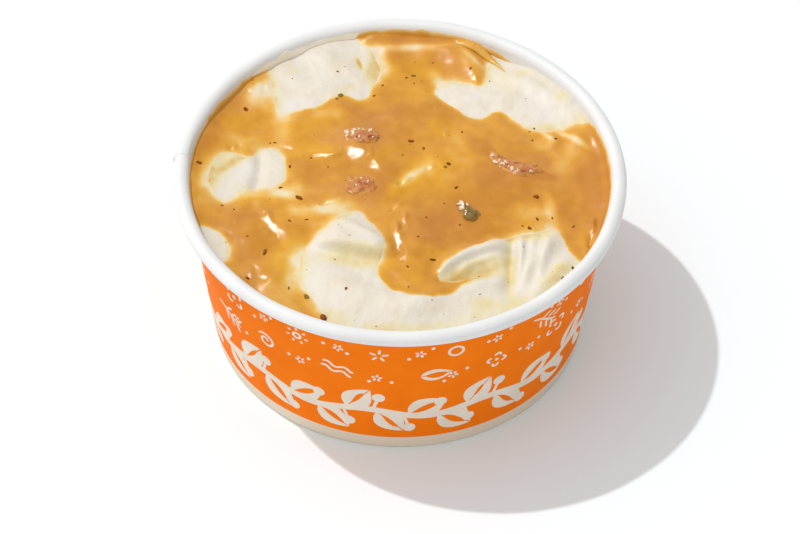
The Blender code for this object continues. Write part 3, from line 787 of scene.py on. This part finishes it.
def bit_material(name, gravy_tone, *stops):
    """Moist cooked bit, in the gravy's colour where it sinks in."""
    def colour(tree):
        uneven = range_node(tree, noise_node(tree, 1, 3, 0.5, 8), 0.3, 0.7, -0.35, 0.35)
        wet = math_node(tree, "ADD", stored(tree, "wet"), uneven, clamp=True)
        return mix_node(tree, wet, clouds((1.5, 4, 0.55), *stops)(tree), gravy_tone)

    return new_material(
        name, colour, [(0.08, 0.9)],
        Roughness=0.4, Specular_IOR_Level=0.12, Coat_Weight=0.4, Coat_Roughness=0.3)


def meat_material():
    """Cooked meat, from dark brown to pinkish tan."""
    return bit_material(
        "meat", srgb(208, 144, 60), (0.3, 128, 60, 24), (0.42, 174, 98, 54),
        (0.55, 196, 124, 76), (0.7, 208, 146, 92))


def green_material():
    """Dull olive green vegetable."""
    return bit_material(
        "green_piece_look", srgb(176, 128, 54), (0.3, 76, 60, 14), (0.6, 118, 98, 38),
        (0.75, 150, 128, 60))


def fat_material():
    """Pale wet specks of fat."""
    colour = clouds((0.5,), (0.3, 210, 168, 128), (0.7, 228, 200, 168))
    return new_material(
        "fat", colour, Roughness=0.3, Specular_IOR_Level=0.5, Coat_Weight=1.0,
        Coat_Roughness=0.22)


def flake_material(name, dark, light):
    """Dry flakes of herb or pepper."""
    colour = clouds((0.7, 4, 0.6), (0.3, *dark), (0.7, *light))
    return new_material(name, colour, [(0.05, 0.25)], Roughness=0.5, Specular_IOR_Level=0.08)


# -------- cup

def inner_radius(height):
    """Radius of the wall's inner face at a height."""
    return FOOT_RADIUS - BOARD + WALL_LEAN * height


def outer_radius(height):
    """Radius of the wall's outer face at a height."""
    return FOOT_RADIUS + WALL_LEAN * height


def seam_offset(angle):
    """How far the lapped end of the blank stands out of the wall at an angle."""
    arc = math.radians(SEAM_ANGLE - angle) * (FOOT_RADIUS + RIM_RADIUS) / 2
    if arc <= 0.0 or arc >= SEAM_WIDTH:
        return 0.0
    return SEAM_STEP * min(1.0, (SEAM_WIDTH - arc) / SEAM_FADE)


def wall_angles():
    """Angles of the cup's columns, with two close ones at the seam's step."""
    even = [360.0 * index / SIDES for index in range(SIDES)]
    even.remove(SEAM_ANGLE)
    return sorted(even + [SEAM_ANGLE - SEAM_EDGE, SEAM_ANGLE + SEAM_EDGE])


def wall_centreline():
    """Middle of the board, from the folded foot up the wall and round the curl."""
    outer = FOOT_RADIUS - BOARD / 2
    inner = outer - 2 * (BOARD + GAP)
    low = BOARD / 2
    cut = CORNER * CORNER_CUT
    line = [
        (inner + WALL_LEAN * FOLD_HEIGHT, FOLD_HEIGHT), (inner, low + CORNER),
        (inner + cut, low + cut), (inner + CORNER, low), (outer - CORNER, low),
        (outer - cut, low + cut), (outer, low + CORNER),
    ]
    line += [(outer + WALL_LEAN * height, height) for height in (12.0, 24.0, RIM_START)]
    middle = Vector((RIM_RADIUS - CURL_RADIUS, CUP_HEIGHT - CURL_RADIUS))
    for index in range(CURL_STEPS + 1):
        angle = math.radians(180.0 + (CURL_END - 180.0) * index / CURL_STEPS)
        line.append(middle + polar(CURL_RADIUS - BOARD / 2, angle))
    return line


def cup_wall(material):
    """Side wall, rim curl and folded foot of white board."""
    outline = sheet_outline(wall_centreline(), BOARD)
    curl_middle = Vector((RIM_RADIUS - CURL_RADIUS, CUP_HEIGHT - CURL_RADIUS))

    def outline_at(angle):
        lap = seam_offset(angle)
        turn = math.radians(angle)
        wander_r = noise.noise((*polar(3.0, turn), 1.0)) * RIM_WANDER
        wander_z = noise.noise((*polar(4.0, turn), 6.0)) * RIM_WANDER
        result = []
        for point in outline:
            radius, height = point
            rim = float(smooth_step(RIM_START, RIM_START + 1.5, height))
            if height < curl_middle.y and radius > outer_radius(height) - 0.1:
                radius += lap
            if height > curl_middle.y - CURL_RADIUS and radius > inner_radius(height) + 0.2:
                outward = (point - curl_middle).normalized() * lap / SEAM_STEP * RIM_LAP
                radius += outward.x
                height += outward.y
            result.append((radius + wander_r * rim, height + wander_z * rim))
        return result

    mesh = turned(outline_at, wall_angles())
    make_piece("cup_wall_board", mesh, material, "white_paper", ["cup_wall"], 40.0)


def cup_bottom(material):
    """Bottom disc with the skirt that the foot's fold holds."""
    skirt = FOOT_RADIUS - BOARD / 2 - (BOARD + GAP)
    edge = skirt + WALL_LEAN * FLOOR_HEIGHT
    cut = FLOOR_BEND * CORNER_CUT
    line = [
        (0.02, FLOOR_HEIGHT), (skirt * 0.5, FLOOR_HEIGHT), (edge - FLOOR_BEND, FLOOR_HEIGHT),
        (edge - cut, FLOOR_HEIGHT - cut),
        (edge - WALL_LEAN * FLOOR_BEND, FLOOR_HEIGHT - FLOOR_BEND),
        (skirt + WALL_LEAN * SKIRT_END, SKIRT_END),
    ]
    outline = sheet_outline(line, BOARD)
    angles = [360.0 * index / BOTTOM_SIDES for index in range(BOTTOM_SIDES)]
    mesh = turned(lambda angle: outline, angles)
    make_piece("cup_bottom_disc", mesh, material, "white_paper", ["cup_bottom"], 40.0)


def print_band(material):
    """Orange print round the wall, over a bare white foot."""
    def outline_at(angle):
        low = outer_radius(PRINT_LOW) + seam_offset(angle)
        high = outer_radius(PRINT_HIGH) + seam_offset(angle)
        return [
            (low - PRINT_ROOT, PRINT_LOW), (low + PRINT_SKIN, PRINT_LOW),
            (high + PRINT_SKIN, PRINT_HIGH), (high - PRINT_ROOT, PRINT_HIGH),
        ]

    mesh = turned(outline_at, wall_angles())
    make_piece("print_band", mesh, material, "printed_paper", [], 40.0)


# -------- printed motifs

def stroke(line, width=LINE_WIDTH, end_width=0.5):
    """Motif of one pen line, whose ends are a share of its width."""
    points = [Vector(point) for point in line]
    sides = [along.orthogonal() * width / 2 for along in directions(points)]
    sides[0] *= end_width
    sides[-1] *= end_width
    return [both_sides(points, sides)]


def dot(radius):
    """Filled dot."""
    return [circle(radius, 12)]


def ring(radius):
    """Circle drawn with a pen, as its outer loop and its hole."""
    return [circle(radius + LINE_WIDTH / 2, 20), circle(radius - LINE_WIDTH / 2, 20)]


def half_leaf(length, width, side, steps=9):
    """One half of a pointed leaf, beside a slit for its vein."""
    edge = []
    for index in range(steps + 1):
        part = index / steps
        swell = math.sin(math.pi * part ** 0.8) ** 0.9
        reach = LEAF_SLIT / 2 + (width - LEAF_SLIT) / 2 * swell
        edge.append(Vector((length * part, side * reach)))
    return [edge + [Vector((length * part, side * LEAF_SLIT / 2)) for part in (0.93, 0.07)]]


def leaf(length, width):
    """Bold leaf as two halves."""
    return [half_leaf(length, width, 1.0), half_leaf(length, width, -1.0)]


def sprig(length):
    """Thin stem with small round-ended leaves in pairs, drawn in lines."""
    shapes = [stroke([(length * part / 6, 0.25 * math.sin(part)) for part in range(7)])]
    reaches = [(0.55 + part * 0.42, 0.1 * part) for part in range(5)]
    for base in [length * (0.3 + 0.24 * pair) for pair in range(3)]:
        for side in (1.0, -1.0):
            shapes.append(stroke([
                (base + reach * 0.75, side * (reach * 0.8 + bend)) for reach, bend in reaches]))
    return shapes


def flower(radius):
    """Four petals round a dot, drawn as open loops."""
    parts = [math.pi * (0.12 + 0.76 * index / 12) for index in range(13)]
    petal = stroke([
        (radius * (0.38 + 0.62 * math.sin(part)), radius * 0.36 * math.cos(part))
        for part in parts])
    shapes = [dot(radius * 0.2)]
    for turn in (45.0, 135.0, 225.0, 315.0):
        shapes += placed([petal], 0.0, 0.0, turn)
    return shapes


def spiral(radius):
    """Open spiral."""
    parts = [index / 21 for index in range(22)]
    return [stroke([polar(radius * (0.22 + 0.78 * part), math.tau * 1.4 * part) for part in parts])]


def wave_lines(length):
    """Two short wavy lines, one above the other."""
    wave = [(length * (part / 18 - 0.5), 0.45 * math.sin(math.tau * 1.8 * part / 18))
            for part in range(19)]
    return placed([stroke(wave)], 0.0, -0.8) + placed([stroke(wave)], 0.0, 0.8)


def rays(radius, count, parts, width):
    """Short strokes that point outward, from and to shares of the radius."""
    return [stroke([way * radius * part for part in parts], width) for way in circle(1.0, count)]


def small_sun(radius):
    """Short strokes set round a small ring."""
    return [ring(radius * 0.32)] + rays(radius, 7, (0.68, 0.84, 1.0), LINE_WIDTH)


def spark(radius):
    """Small star of short strokes."""
    return rays(radius, 5, [0.3 + 0.14 * step for step in range(6)], 0.5)


def placed(shapes, across, height, turn=0.0, size=1.0):
    """Shapes turned, scaled and moved to a place on the flat print."""
    matrix = Matrix.Rotation(math.radians(turn), 2)
    middle = Vector((across, height))
    return [[[matrix @ point * size + middle for point in loop] for loop in loops]
            for loops in shapes]


def stem_height(part):
    """Height of the garland's stem along one wave."""
    return STEM_HEIGHT + STEM_SWING * math.sin(math.tau * part)


def garland(length, picker):
    """Wavy stem with leaves on both sides, and a berry across from each."""
    wave = length / WAVES
    shapes = []
    for start in [number * wave for number in range(WAVES)]:
        stem = [(start + wave * index / 24, stem_height(index / 24)) for index in range(25)]
        shapes.append(stroke(stem, STEM_WIDTH, 1.0))
        for index in range(LEAVES):
            part = (index + 0.3) / LEAVES
            side = 1 if index % 2 == 0 else -1
            height = stem_height(part)
            slope = math.degrees(math.atan2(stem_height(part + 0.01) - height, wave * 0.01))
            turn = slope + side * picker.uniform(38.0, 44.0)
            base = Vector((start + wave * part, height)) + polar(0.5, math.radians(turn))
            size = picker.uniform(0.93, 1.05)
            shapes += placed(leaf(LEAF_LENGTH, LEAF_WIDTH), *base, turn, size)
            berry = Vector((start + wave * (part + 0.03), height - side * BERRY_REACH))
            shapes += placed([dot(BERRY_RADIUS)], *berry)
            twig = [berry + Vector((-0.3 * step, side * 1.0 * step)) for step in range(1, 5)]
            shapes.append(stroke(twig, 0.7, 1.0))
    return shapes


def small_motifs(length, picker):
    """Line drawings scattered over the upper half of the print."""
    motifs = [
        sprig(7.5), flower(2.6), spiral(2.2), small_sun(2.4), wave_lines(6.5), spark(1.9),
        leaf(6.4, 3.6), [ring(1.4)], flower(2.0),
    ]
    shapes = []
    for index in range(SMALL_MOTIFS):
        across = length * (index + 0.5 + 0.2 * (picker.random() - 0.5)) / SMALL_MOTIFS
        height = MOTIF_ROWS[index % 2] + 1.0 * (picker.random() - 0.5)
        turn = picker.uniform(-40.0, 40.0)
        shapes += placed(motifs[index % len(motifs)], across, height, turn)
        aside = SPARK_ROWS[index % 2]
        shapes += placed(spark(1.1), across + picker.uniform(-0.6, 0.6), aside, turn)
        for step in (-1.0, 1.0):
            beside = across + step * picker.uniform(1.9, 2.6)
            shapes += placed([dot(0.4)], beside, aside + picker.uniform(-1.8, 1.8))
    return shapes


def motif_print(material):
    """Cream leaf garland and small line drawings on the orange, drawn on a flat strip."""
    radius = outer_radius((PRINT_LOW + PRINT_HIGH) / 2)
    picker = random.Random(4)
    shapes = garland(math.tau * radius, picker)
    shapes += small_motifs(math.tau * radius, picker)

    meshes = []
    for loops in shapes:
        points, net, in_hole = triangulate(loops[0], loops[1:], MOTIF_SPACING)
        across, height = points.T
        angle = across / radius
        seam = np.array([seam_offset(math.degrees(value) % 360.0) for value in angle])
        front = on_cylinder(angle, outer_radius(height) + seam + MOTIF_SKIN, height)
        back = on_cylinder(angle, outer_radius(height) + seam - MOTIF_ROOT, height)
        meshes.append(closed_layer(net[~in_hole], front, back)[0])
    make_piece("print_motifs", joined(meshes), material, "white_paper")


# -------- mash and gravy

def ragged(loop, size, seed):
    """Loop with small uneven waves along its edge."""
    result = []
    for index, point in enumerate(loop):
        along = (loop[(index + 1) % len(loop)] - loop[index - 1]).normalized()
        shift = noise.noise((point.x / 2.6, point.y / 2.6, seed)) * size
        shift += noise.noise((point.x / 0.9, point.y / 0.9, seed + 5.0)) * size * 0.35
        result.append(point + along.orthogonal() * shift)
    return result


def wall_rise(x, y, angle, half_range, width, height):
    """Food drawn up the wall, highest at one angle."""
    away = (np.degrees(np.arctan2(y, x)) - angle + 180.0) % 360.0 - 180.0
    gap = inner_radius(WALL_LEVEL) - np.hypot(x, y)
    return height * np.exp(-(away / half_range) ** 4) * np.exp(-(gap / width) ** 2)


def food_height(x, y, reach):
    """Height of the mash before the gravy weighs it down, smoother where it is covered."""
    dome = (x ** 2 + y ** 2) / inner_radius(WALL_LEVEL) ** 2
    bare = 1.0 - smooth_step(0.0, 4.0, reach)
    height = WALL_LEVEL + DOME_RISE * (1.0 - dome)
    height = height + total(lump, LUMPS, x, y) + total(wall_rise, WALL_RISES, x, y)
    height = height + wall_rise(x, y, 0.0, 360.0, MENISCUS_WIDTH, MENISCUS_RISE)
    height = height + FOLD_GAIN * total(fold, FOLDS, x, y) * (0.1 + 0.9 * bare)
    height = height + total(wobble, MASH_BUMPS, x, y)
    return height + total(wobble, MASH_GRAIN, x, y) * bare


def edge_softness(x, y):
    """How softly the gravy ends, from 0 to 1."""
    soft = EDGE_SOFTNESS + total(wobble, EDGE_CHANGES, x, y) + total(lump, SOFT_EDGES, x, y)
    return np.clip(soft, 0.0, 1.0)


def gravy_rise(x, y, reach, softness):
    """How far the gravy's top, with its ripples, stands above the mash around it."""
    rise = GRAVY_RISE + total(lump, GRAVY_SWELLS, x, y) + total(wobble, GRAVY_BUMPS, x, y)
    waves = total(fold, RIPPLES, x, y) + total(wobble, GRAVY_WAVES, x, y)
    edge = smooth_step(-0.4, 3.8 + 1.5 * softness, reach)
    return rise * edge + waves * smooth_step(0.2, 2.5, reach)


def gravy_colour(x, y, reach, softness):
    """Depth of the gravy's colour, which grows faster than its height."""
    width = 0.7 + 2.2 * softness ** 1.5
    depth = GRAVY_COLOUR * (1.0 - np.exp(-np.maximum(reach, 0.0) / width * 1.6))
    # Lumps and mottle of tone, some lumps being painted shade.
    tone_and_shade = TONE_GAIN * total(lump, TONES_AND_SHADE, x, y) + total(wobble, TONE_MOTTLE, x, y)
    depth = depth + tone_and_shade * smooth_step(0.0, 1.0, depth)
    return np.maximum(depth, 0.0)


def glint_facets(x, y, surface):
    """The surface with small flat facets, each at the slope that mirrors the light.

    The largest come last, so that their neighbours leave them flat.
    """
    ragged_edge = wobble(x, y, *GLINT_RAGGED)
    for glint in sorted(GLINTS, key=lambda values: values[2] * values[3]):
        middle_x, middle_y, length, width, turn = glint
        along, across = along_and_across(x - middle_x, y - middle_y, turn)
        away = np.hypot(along / (length / 2), across / (max(width, GLINT_THINNEST) / 2))
        window = 1.0 - smooth_step(GLINT_FLAT, GLINT_END, away + ragged_edge)
        level = np.sum(surface * window) / np.sum(window)
        plane = level + (x - middle_x) * GLINT_SLOPE[0] + (y - middle_y) * GLINT_SLOPE[1]
        surface = surface + (plane - surface) * window
    return surface


def food(mash_look, gravy_look):
    """Mash and gravy on one shared net. Gives the function of the food's height at a place."""
    level_radius = inner_radius(WALL_LEVEL)
    rim_radius = level_radius + WALL_OVERLAP
    rim = circle(rim_radius, round(math.tau * level_radius / NET_SPACING))
    patches = []
    for number, corners in enumerate(PATCHES):
        patches.append(ragged(closed_curve(corners, NET_SPACING), EDGE_WAVES, 10.0 * number))
    points, faces, bare = triangulate(rim, patches, NET_SPACING)
    x, y = points.T
    reach = -np.max([depth_in(x, y, loop) for loop in patches], axis=0)
    softness = edge_softness(x, y)
    level = food_height(x, y, reach)
    bed = level - BED_DEPTH * smooth_step(0.0, BED_WIDTH, reach)
    surface = level + gravy_rise(x, y, reach, softness)
    faceted = glint_facets(x, y, surface)
    surface = surface + (faceted - surface) * smooth_step(0.2, 1.0, reach)
    at_wall = np.hypot(x, y) > rim_radius - RIM_MARGIN

    def lifted(heights):
        """Net at these heights, with its rim moved out to the leaning wall."""
        scale = np.where(at_wall, (inner_radius(heights) + WALL_OVERLAP) / rim_radius, 1.0)
        return np.stack([x * scale, y * scale, heights], axis=-1)

    mesh = mash_mesh(points, faces, lifted(bed).tolist())
    # Stain beside the gravy, plus the table's lumps of stain and painted shade.
    stain = np.exp(np.minimum(reach, 0.0) / (0.2 + 1.5 * softness)) * (0.2 + 0.5 * softness)
    stain = np.pad(stain + total(lump, STAINS_AND_SHADE, x, y), (0, len(mesh[0]) - len(points)))
    make_piece("mash_body", mesh, mash_look, "mash", ["mashed_potato"], stain=stain)

    bottom = np.stack([x, y, bed - GRAVY_SINK], axis=-1)
    mesh, used = closed_layer(faces[~bare], lifted(surface), bottom)
    depth = gravy_colour(x, y, reach, softness)[used]
    gold = (TONE_GAIN * total(lump, GOLDS, x, y) + total(wobble, GOLD_MOTTLE, x, y))[used]
    make_piece("gravy_layer", mesh, gravy_look, "gravy", ["gravy"], depth=depth, gold=gold)
    return surface_sampler(points, np.where(reach > 0.0, surface, bed))


def mash_mesh(points, faces, verts):
    """Mesh of the mash from the net's vertices down to the cup's bottom."""
    result = faces.tolist()
    foot_scale = (inner_radius(MASH_BASE) - 0.05) / inner_radius(WALL_LEVEL)
    foot = {}
    order = {}
    for a, b in outer_edges(result):
        for corner in (a, b):
            if corner not in foot:
                foot[corner] = len(verts)
                verts.append([*(points[corner] * foot_scale), MASH_BASE])
        order[a] = b
    result += [[b, a, foot[a], foot[b]] for a, b in order.items()]
    cap = [next(iter(order))]
    while order[cap[-1]] != cap[0]:
        cap.append(order[cap[-1]])
    result.append([foot[corner] for corner in reversed(cap)])
    return verts, result


def wall_layer(name, look, thickness, depth, corners):
    """Thin layer of food on the cup's inner wall, thinning out to its edge."""
    radius = inner_radius(WALL_LEVEL)
    flat = [(-math.radians(angle) * radius, height) for angle, height in corners]
    loop = ragged(closed_curve(flat, 0.5), 0.5, 40.0)
    points, faces, _ = triangulate(loop, [], NET_SPACING)
    across, height = points.T
    part = np.clip(abs(depth_in(across, height, loop)) / WALL_LAYER_EDGE, 0.0, 1.0)
    swell = (1.0 - (1.0 - part) ** 2) ** 0.8
    wall = inner_radius(height)
    front = on_cylinder(-across / radius, wall - WALL_LAYER_SKIN - thickness * swell, height)
    back = on_cylinder(-across / radius, wall + WALL_OVERLAP, height)
    mesh, used = closed_layer(faces, front, back)
    gold = np.full(len(used), WALL_LAYER_GOLD)
    make_piece(name, mesh, look, "gravy", depth=(depth * swell)[used], gold=gold)


def surface_sampler(points, levels):
    """Function that gives the food's height near a place."""
    tree = kdtree.KDTree(len(points))
    for index, (x, y) in enumerate(points):
        tree.insert((x, y, 0.0), index)
    tree.balance()
    return lambda x, y: float(np.mean([levels[index] for _, index, _ in tree.find_n((x, y, 0.0), 4)]))


# -------- bits

def bit_piece(node, shape, material, slot, height_at, roughness, seed):
    """A torn lump that sits partly in the gravy, and stands for a node of the model."""
    middle_x, middle_y, half_length, half_width, half_height, turn, bend = shape
    build = bmesh.new()
    bmesh.ops.create_icosphere(build, subdivisions=5, radius=1.0)
    verts = np.array([tuple(vert.co) for vert in build.verts])
    faces = [[vert.index for vert in face.verts] for face in build.faces]
    build.free()
    swell = []
    for point in verts:
        place = Vector(point)
        value = 1.0 + 0.25 * noise.noise(place * 1.6 + Vector((seed, 0.0, 0.0)))
        value += roughness * noise.noise(place * 3.6 + Vector((0.0, seed, 0.0)))
        value += roughness * 0.6 * noise.noise(place * 8.0 + Vector((0.0, 0.0, seed)))
        swell.append(value)
    length, width, height = (verts * np.array(swell)[:, None]).T
    across = width * half_width + bend * (length ** 2 - 0.3)
    x, y = along_and_across(length * half_length, across, -turn)
    x = x + middle_x
    y = y + middle_y
    level = np.array([height_at(*place) for place in zip(x, y)])
    z = (height - BIT_SINK) * half_height + level
    verts = np.stack([x, y, z], axis=-1)
    wet = 1.0 - smooth_step(-0.1 * half_height, 0.6 * half_height, z - level)
    make_piece(node + "_look", (verts, faces), material, slot, [node], 180.0, wet=wet)
    return verts


def chip(edge, layers, matrix, middle):
    """Closed mesh of an outline at layers of height and spread, turned and moved."""
    return stacked([
        [matrix @ Vector((*(point * spread), height)) + middle for point in edge]
        for height, spread in layers])


def fat_specks(material, bits, height_at, picker):
    """Groups of small flat specks, tilted to mirror the light, on the bits and beside them."""
    facing = Vector((-GLINT_SLOPE[0], -GLINT_SLOPE[1], 1.0)).to_track_quat("Z", "Y").to_matrix()
    specks = []
    for middle_x, middle_y, group_size in SPARKLES * SPECKS_IN_GROUP:
        x = middle_x + picker.gauss(0.0, SPECK_SPREAD) * group_size
        y = middle_y + picker.gauss(0.0, SPECK_SPREAD) * group_size
        size = group_size * picker.uniform(0.45, 0.95)
        near = bits[np.hypot(bits[:, 0] - x, bits[:, 1] - y) < 0.4]
        middle = Vector((x, y, max([height_at(x, y)] + near[:, 2].tolist())))
        lean = Matrix.Rotation(picker.gauss(0.0, SPECK_LEAN), 3, "X")
        turn = Matrix.Rotation(picker.uniform(0.0, math.tau), 3, "Z")
        narrow = picker.uniform(0.4, 0.9)
        edge = [Vector((way.x, narrow * way.y)) * picker.uniform(0.6, 1.15) * size / 2
                for way in circle(1.0, SPECK_SIDES)]
        layers = ((0.05 * size, 0.7), (0.0, 1.0), (-0.25 * size, 0.8))
        specks.append(chip(edge, layers, facing @ lean @ turn, middle))
    make_piece("fat_specks", joined(specks), material, "meat", [], 30.0)


def gravy_strand(material, height_at):
    """Narrow run of gravy, half sunk in the mash and tapered to a tip."""
    rows = np.arange(len(STRAND))
    part = np.linspace(0.0, len(STRAND) - 1.0, STRAND_STEPS)
    x, y, lift, width = (np.interp(part, rows, column) for column in zip(*STRAND))
    x, y = (np.convolve(np.pad(values, 4, "edge"), np.ones(9) / 9.0, "valid") for values in (x, y))
    loops = []
    for index, along in enumerate(directions([Vector(point) for point in zip(x, y)])):
        middle = Vector((x[index], y[index], height_at(x[index], y[index]) + lift[index]))
        to_tip = (STRAND_STEPS - 1 - index) / STRAND_STEPS
        taper = math.sin(math.pi * min(1.0, 0.06 + 1.2 * to_tip) / 2)
        loop = []
        for way in circle(1.0, STRAND_SIDES):
            reach = width[index] * taper * way.x
            rise = STRAND_RISE * taper * way.y
            loop.append(middle + Vector((-along.y * reach, along.x * reach, rise)))
        loops.append(loop)
    depth = np.repeat(0.5 + 1.2 * np.linspace(1.0, 0.3, STRAND_STEPS), STRAND_SIDES)
    gold = np.full(len(depth), STRAND_GOLD)
    mesh = stacked(loops)
    make_piece("gravy_strand", mesh, material, "gravy", [], 180.0, depth=depth, gold=gold)


def flakes(name, places, material, height_at, picker):
    """Many small uneven flakes on the food, as one piece."""
    meshes = []
    for x, y, size in places:
        length = size * picker.uniform(0.9, 1.25)
        width = size * picker.uniform(0.5, 0.8)
        edge = [Vector((way.x * length, way.y * width)) * picker.uniform(0.7, 1.15) / 2
                for way in circle(1.0, FLAKE_SIDES)]
        turn = Matrix.Rotation(picker.uniform(0.0, math.tau), 3, "Z")
        turn = turn @ Matrix.Rotation(picker.uniform(-0.3, 0.3), 3, "X")
        middle = Vector((x, y, height_at(x, y) - size * picker.uniform(0.0, 0.1)))
        thickness = size * FLAKE_THICKNESS
        layers = ((0.5 * thickness, 0.6), (0.15 * thickness, 1.0), (-0.5 * thickness, 0.9))
        meshes.append(chip(edge, layers, turn, middle))
    make_piece(name, joined(meshes), material, "herb", [], 30.0)


# -------- stage

def add_floor():
    """Plain pale floor."""
    corners = [(-1, -1), (1, -1), (1, 1), (-1, 1)]
    mesh = bpy.data.meshes.new("floor")
    mesh.from_pydata([(x * FLOOR_REACH, y * FLOOR_REACH, 0) for x, y in corners], [], [range(4)])
    mesh.materials.append(new_material(
        "floor", Base_Color=FLOOR_COLOUR, Roughness=0.9, Specular_IOR_Level=0.0))
    new_object("floor", mesh)


def add_light():
    """One sun from the left and behind, and a pale sky that is brighter on one side."""
    data = bpy.data.lights.new("sun", "SUN")
    data.energy = SUN_STRENGTH
    data.angle = math.radians(SUN_SIZE)
    sun = new_object("sun", data)
    sun.rotation_euler = Vector(SUN_DIRECTION).to_track_quat("Z", "Y").to_euler()
    world = bpy.data.worlds.new("sky")
    world.use_nodes = True
    tree = world.node_tree
    background = tree.nodes["Background"]
    background.inputs["Color"].default_value = SKY_COLOUR
    way = add_node(tree, "ShaderNodeTexCoord", output="Generated")
    lean = add_node(
        tree, "ShaderNodeVectorMath", {0: way, 1: SKY_SIDE}, output="Value",
        operation="DOT_PRODUCT")
    strength = add_node(
        tree, "ShaderNodeMath", {0: lean, 1: SKY_LEAN * SKY_STRENGTH, 2: SKY_LEVEL * SKY_STRENGTH},
        operation="MULTIPLY_ADD")
    tree.links.new(strength, background.inputs["Strength"])
    bpy.context.scene.world = world


def add_camera():
    """Long lens from the front, looking down into the cup."""
    data = bpy.data.cameras.new("camera")
    data.lens = CAMERA_LENS
    data.sensor_width = 36.0
    data.clip_start = 0.05
    data.clip_end = 20.0
    matrix = Matrix.Rotation(math.radians(90.0 - CAMERA_ELEVATION), 4, "X")
    matrix = matrix @ Matrix.Rotation(math.radians(CAMERA_ROLL), 4, "Z")
    back = matrix.col[2].xyz
    matrix.translation = (Vector(CAMERA_TARGET) + back * CAMERA_DISTANCE) * MM
    camera = new_object("camera", data)
    camera.matrix_world = matrix
    bpy.context.scene.camera = camera
    bpy.context.scene.view_settings.view_transform = "Standard"
    bpy.context.scene.view_settings.look = "None"


def cup():
    """Paper cup with its print."""
    board = paper_material()
    cup_wall(board)
    cup_bottom(board)
    print_band(orange_material())
    motif_print(cream_material())


def filling():
    """Mash and gravy, and what lies on them."""
    looks = {"gravy": gravy_material(), "film": film_material()}
    height_at = food(mash_material(), looks["gravy"])
    for name, look, *values in WALL_LAYERS:
        wall_layer(name, looks[look], *values)
    meat = meat_material()
    bits = []
    for number, (node, shape) in enumerate(MEAT):
        bits.append(
            bit_piece(node, shape, meat, "meat", height_at, MEAT_ROUGHNESS, 3.0 * number))
    bits.append(bit_piece(*GREEN, green_material(), "herb", height_at, GREEN_ROUGHNESS, 20.0))
    gravy_strand(looks["gravy"], height_at)
    picker = random.Random(11)
    fat_specks(fat_material(), np.concatenate(bits), height_at, picker)
    brown, green = ([fleck[:3] for fleck in FLECKS if fleck[3] == kind] for kind in (0, 1))
    for _ in range(SMALL_FLECKS):
        spread = FLECK_REACH * math.sqrt(picker.random())
        turn = picker.uniform(0.0, math.tau)
        size = 0.25 + 0.45 * picker.random() ** 2
        brown.append((*polar(spread, turn), size))
    pepper = flake_material("pepper_look", (92, 40, 6), (160, 92, 22))
    herb = flake_material("herb_look", (104, 78, 20), (160, 124, 44))
    flakes("pepper_flakes", brown, pepper, height_at, picker)
    flakes("herb_flakes", green, herb, height_at, picker)


def main():
    """Dress the model and set the stage."""
    cup()
    filling()
    add_floor()
    add_light()
    add_camera()


main()
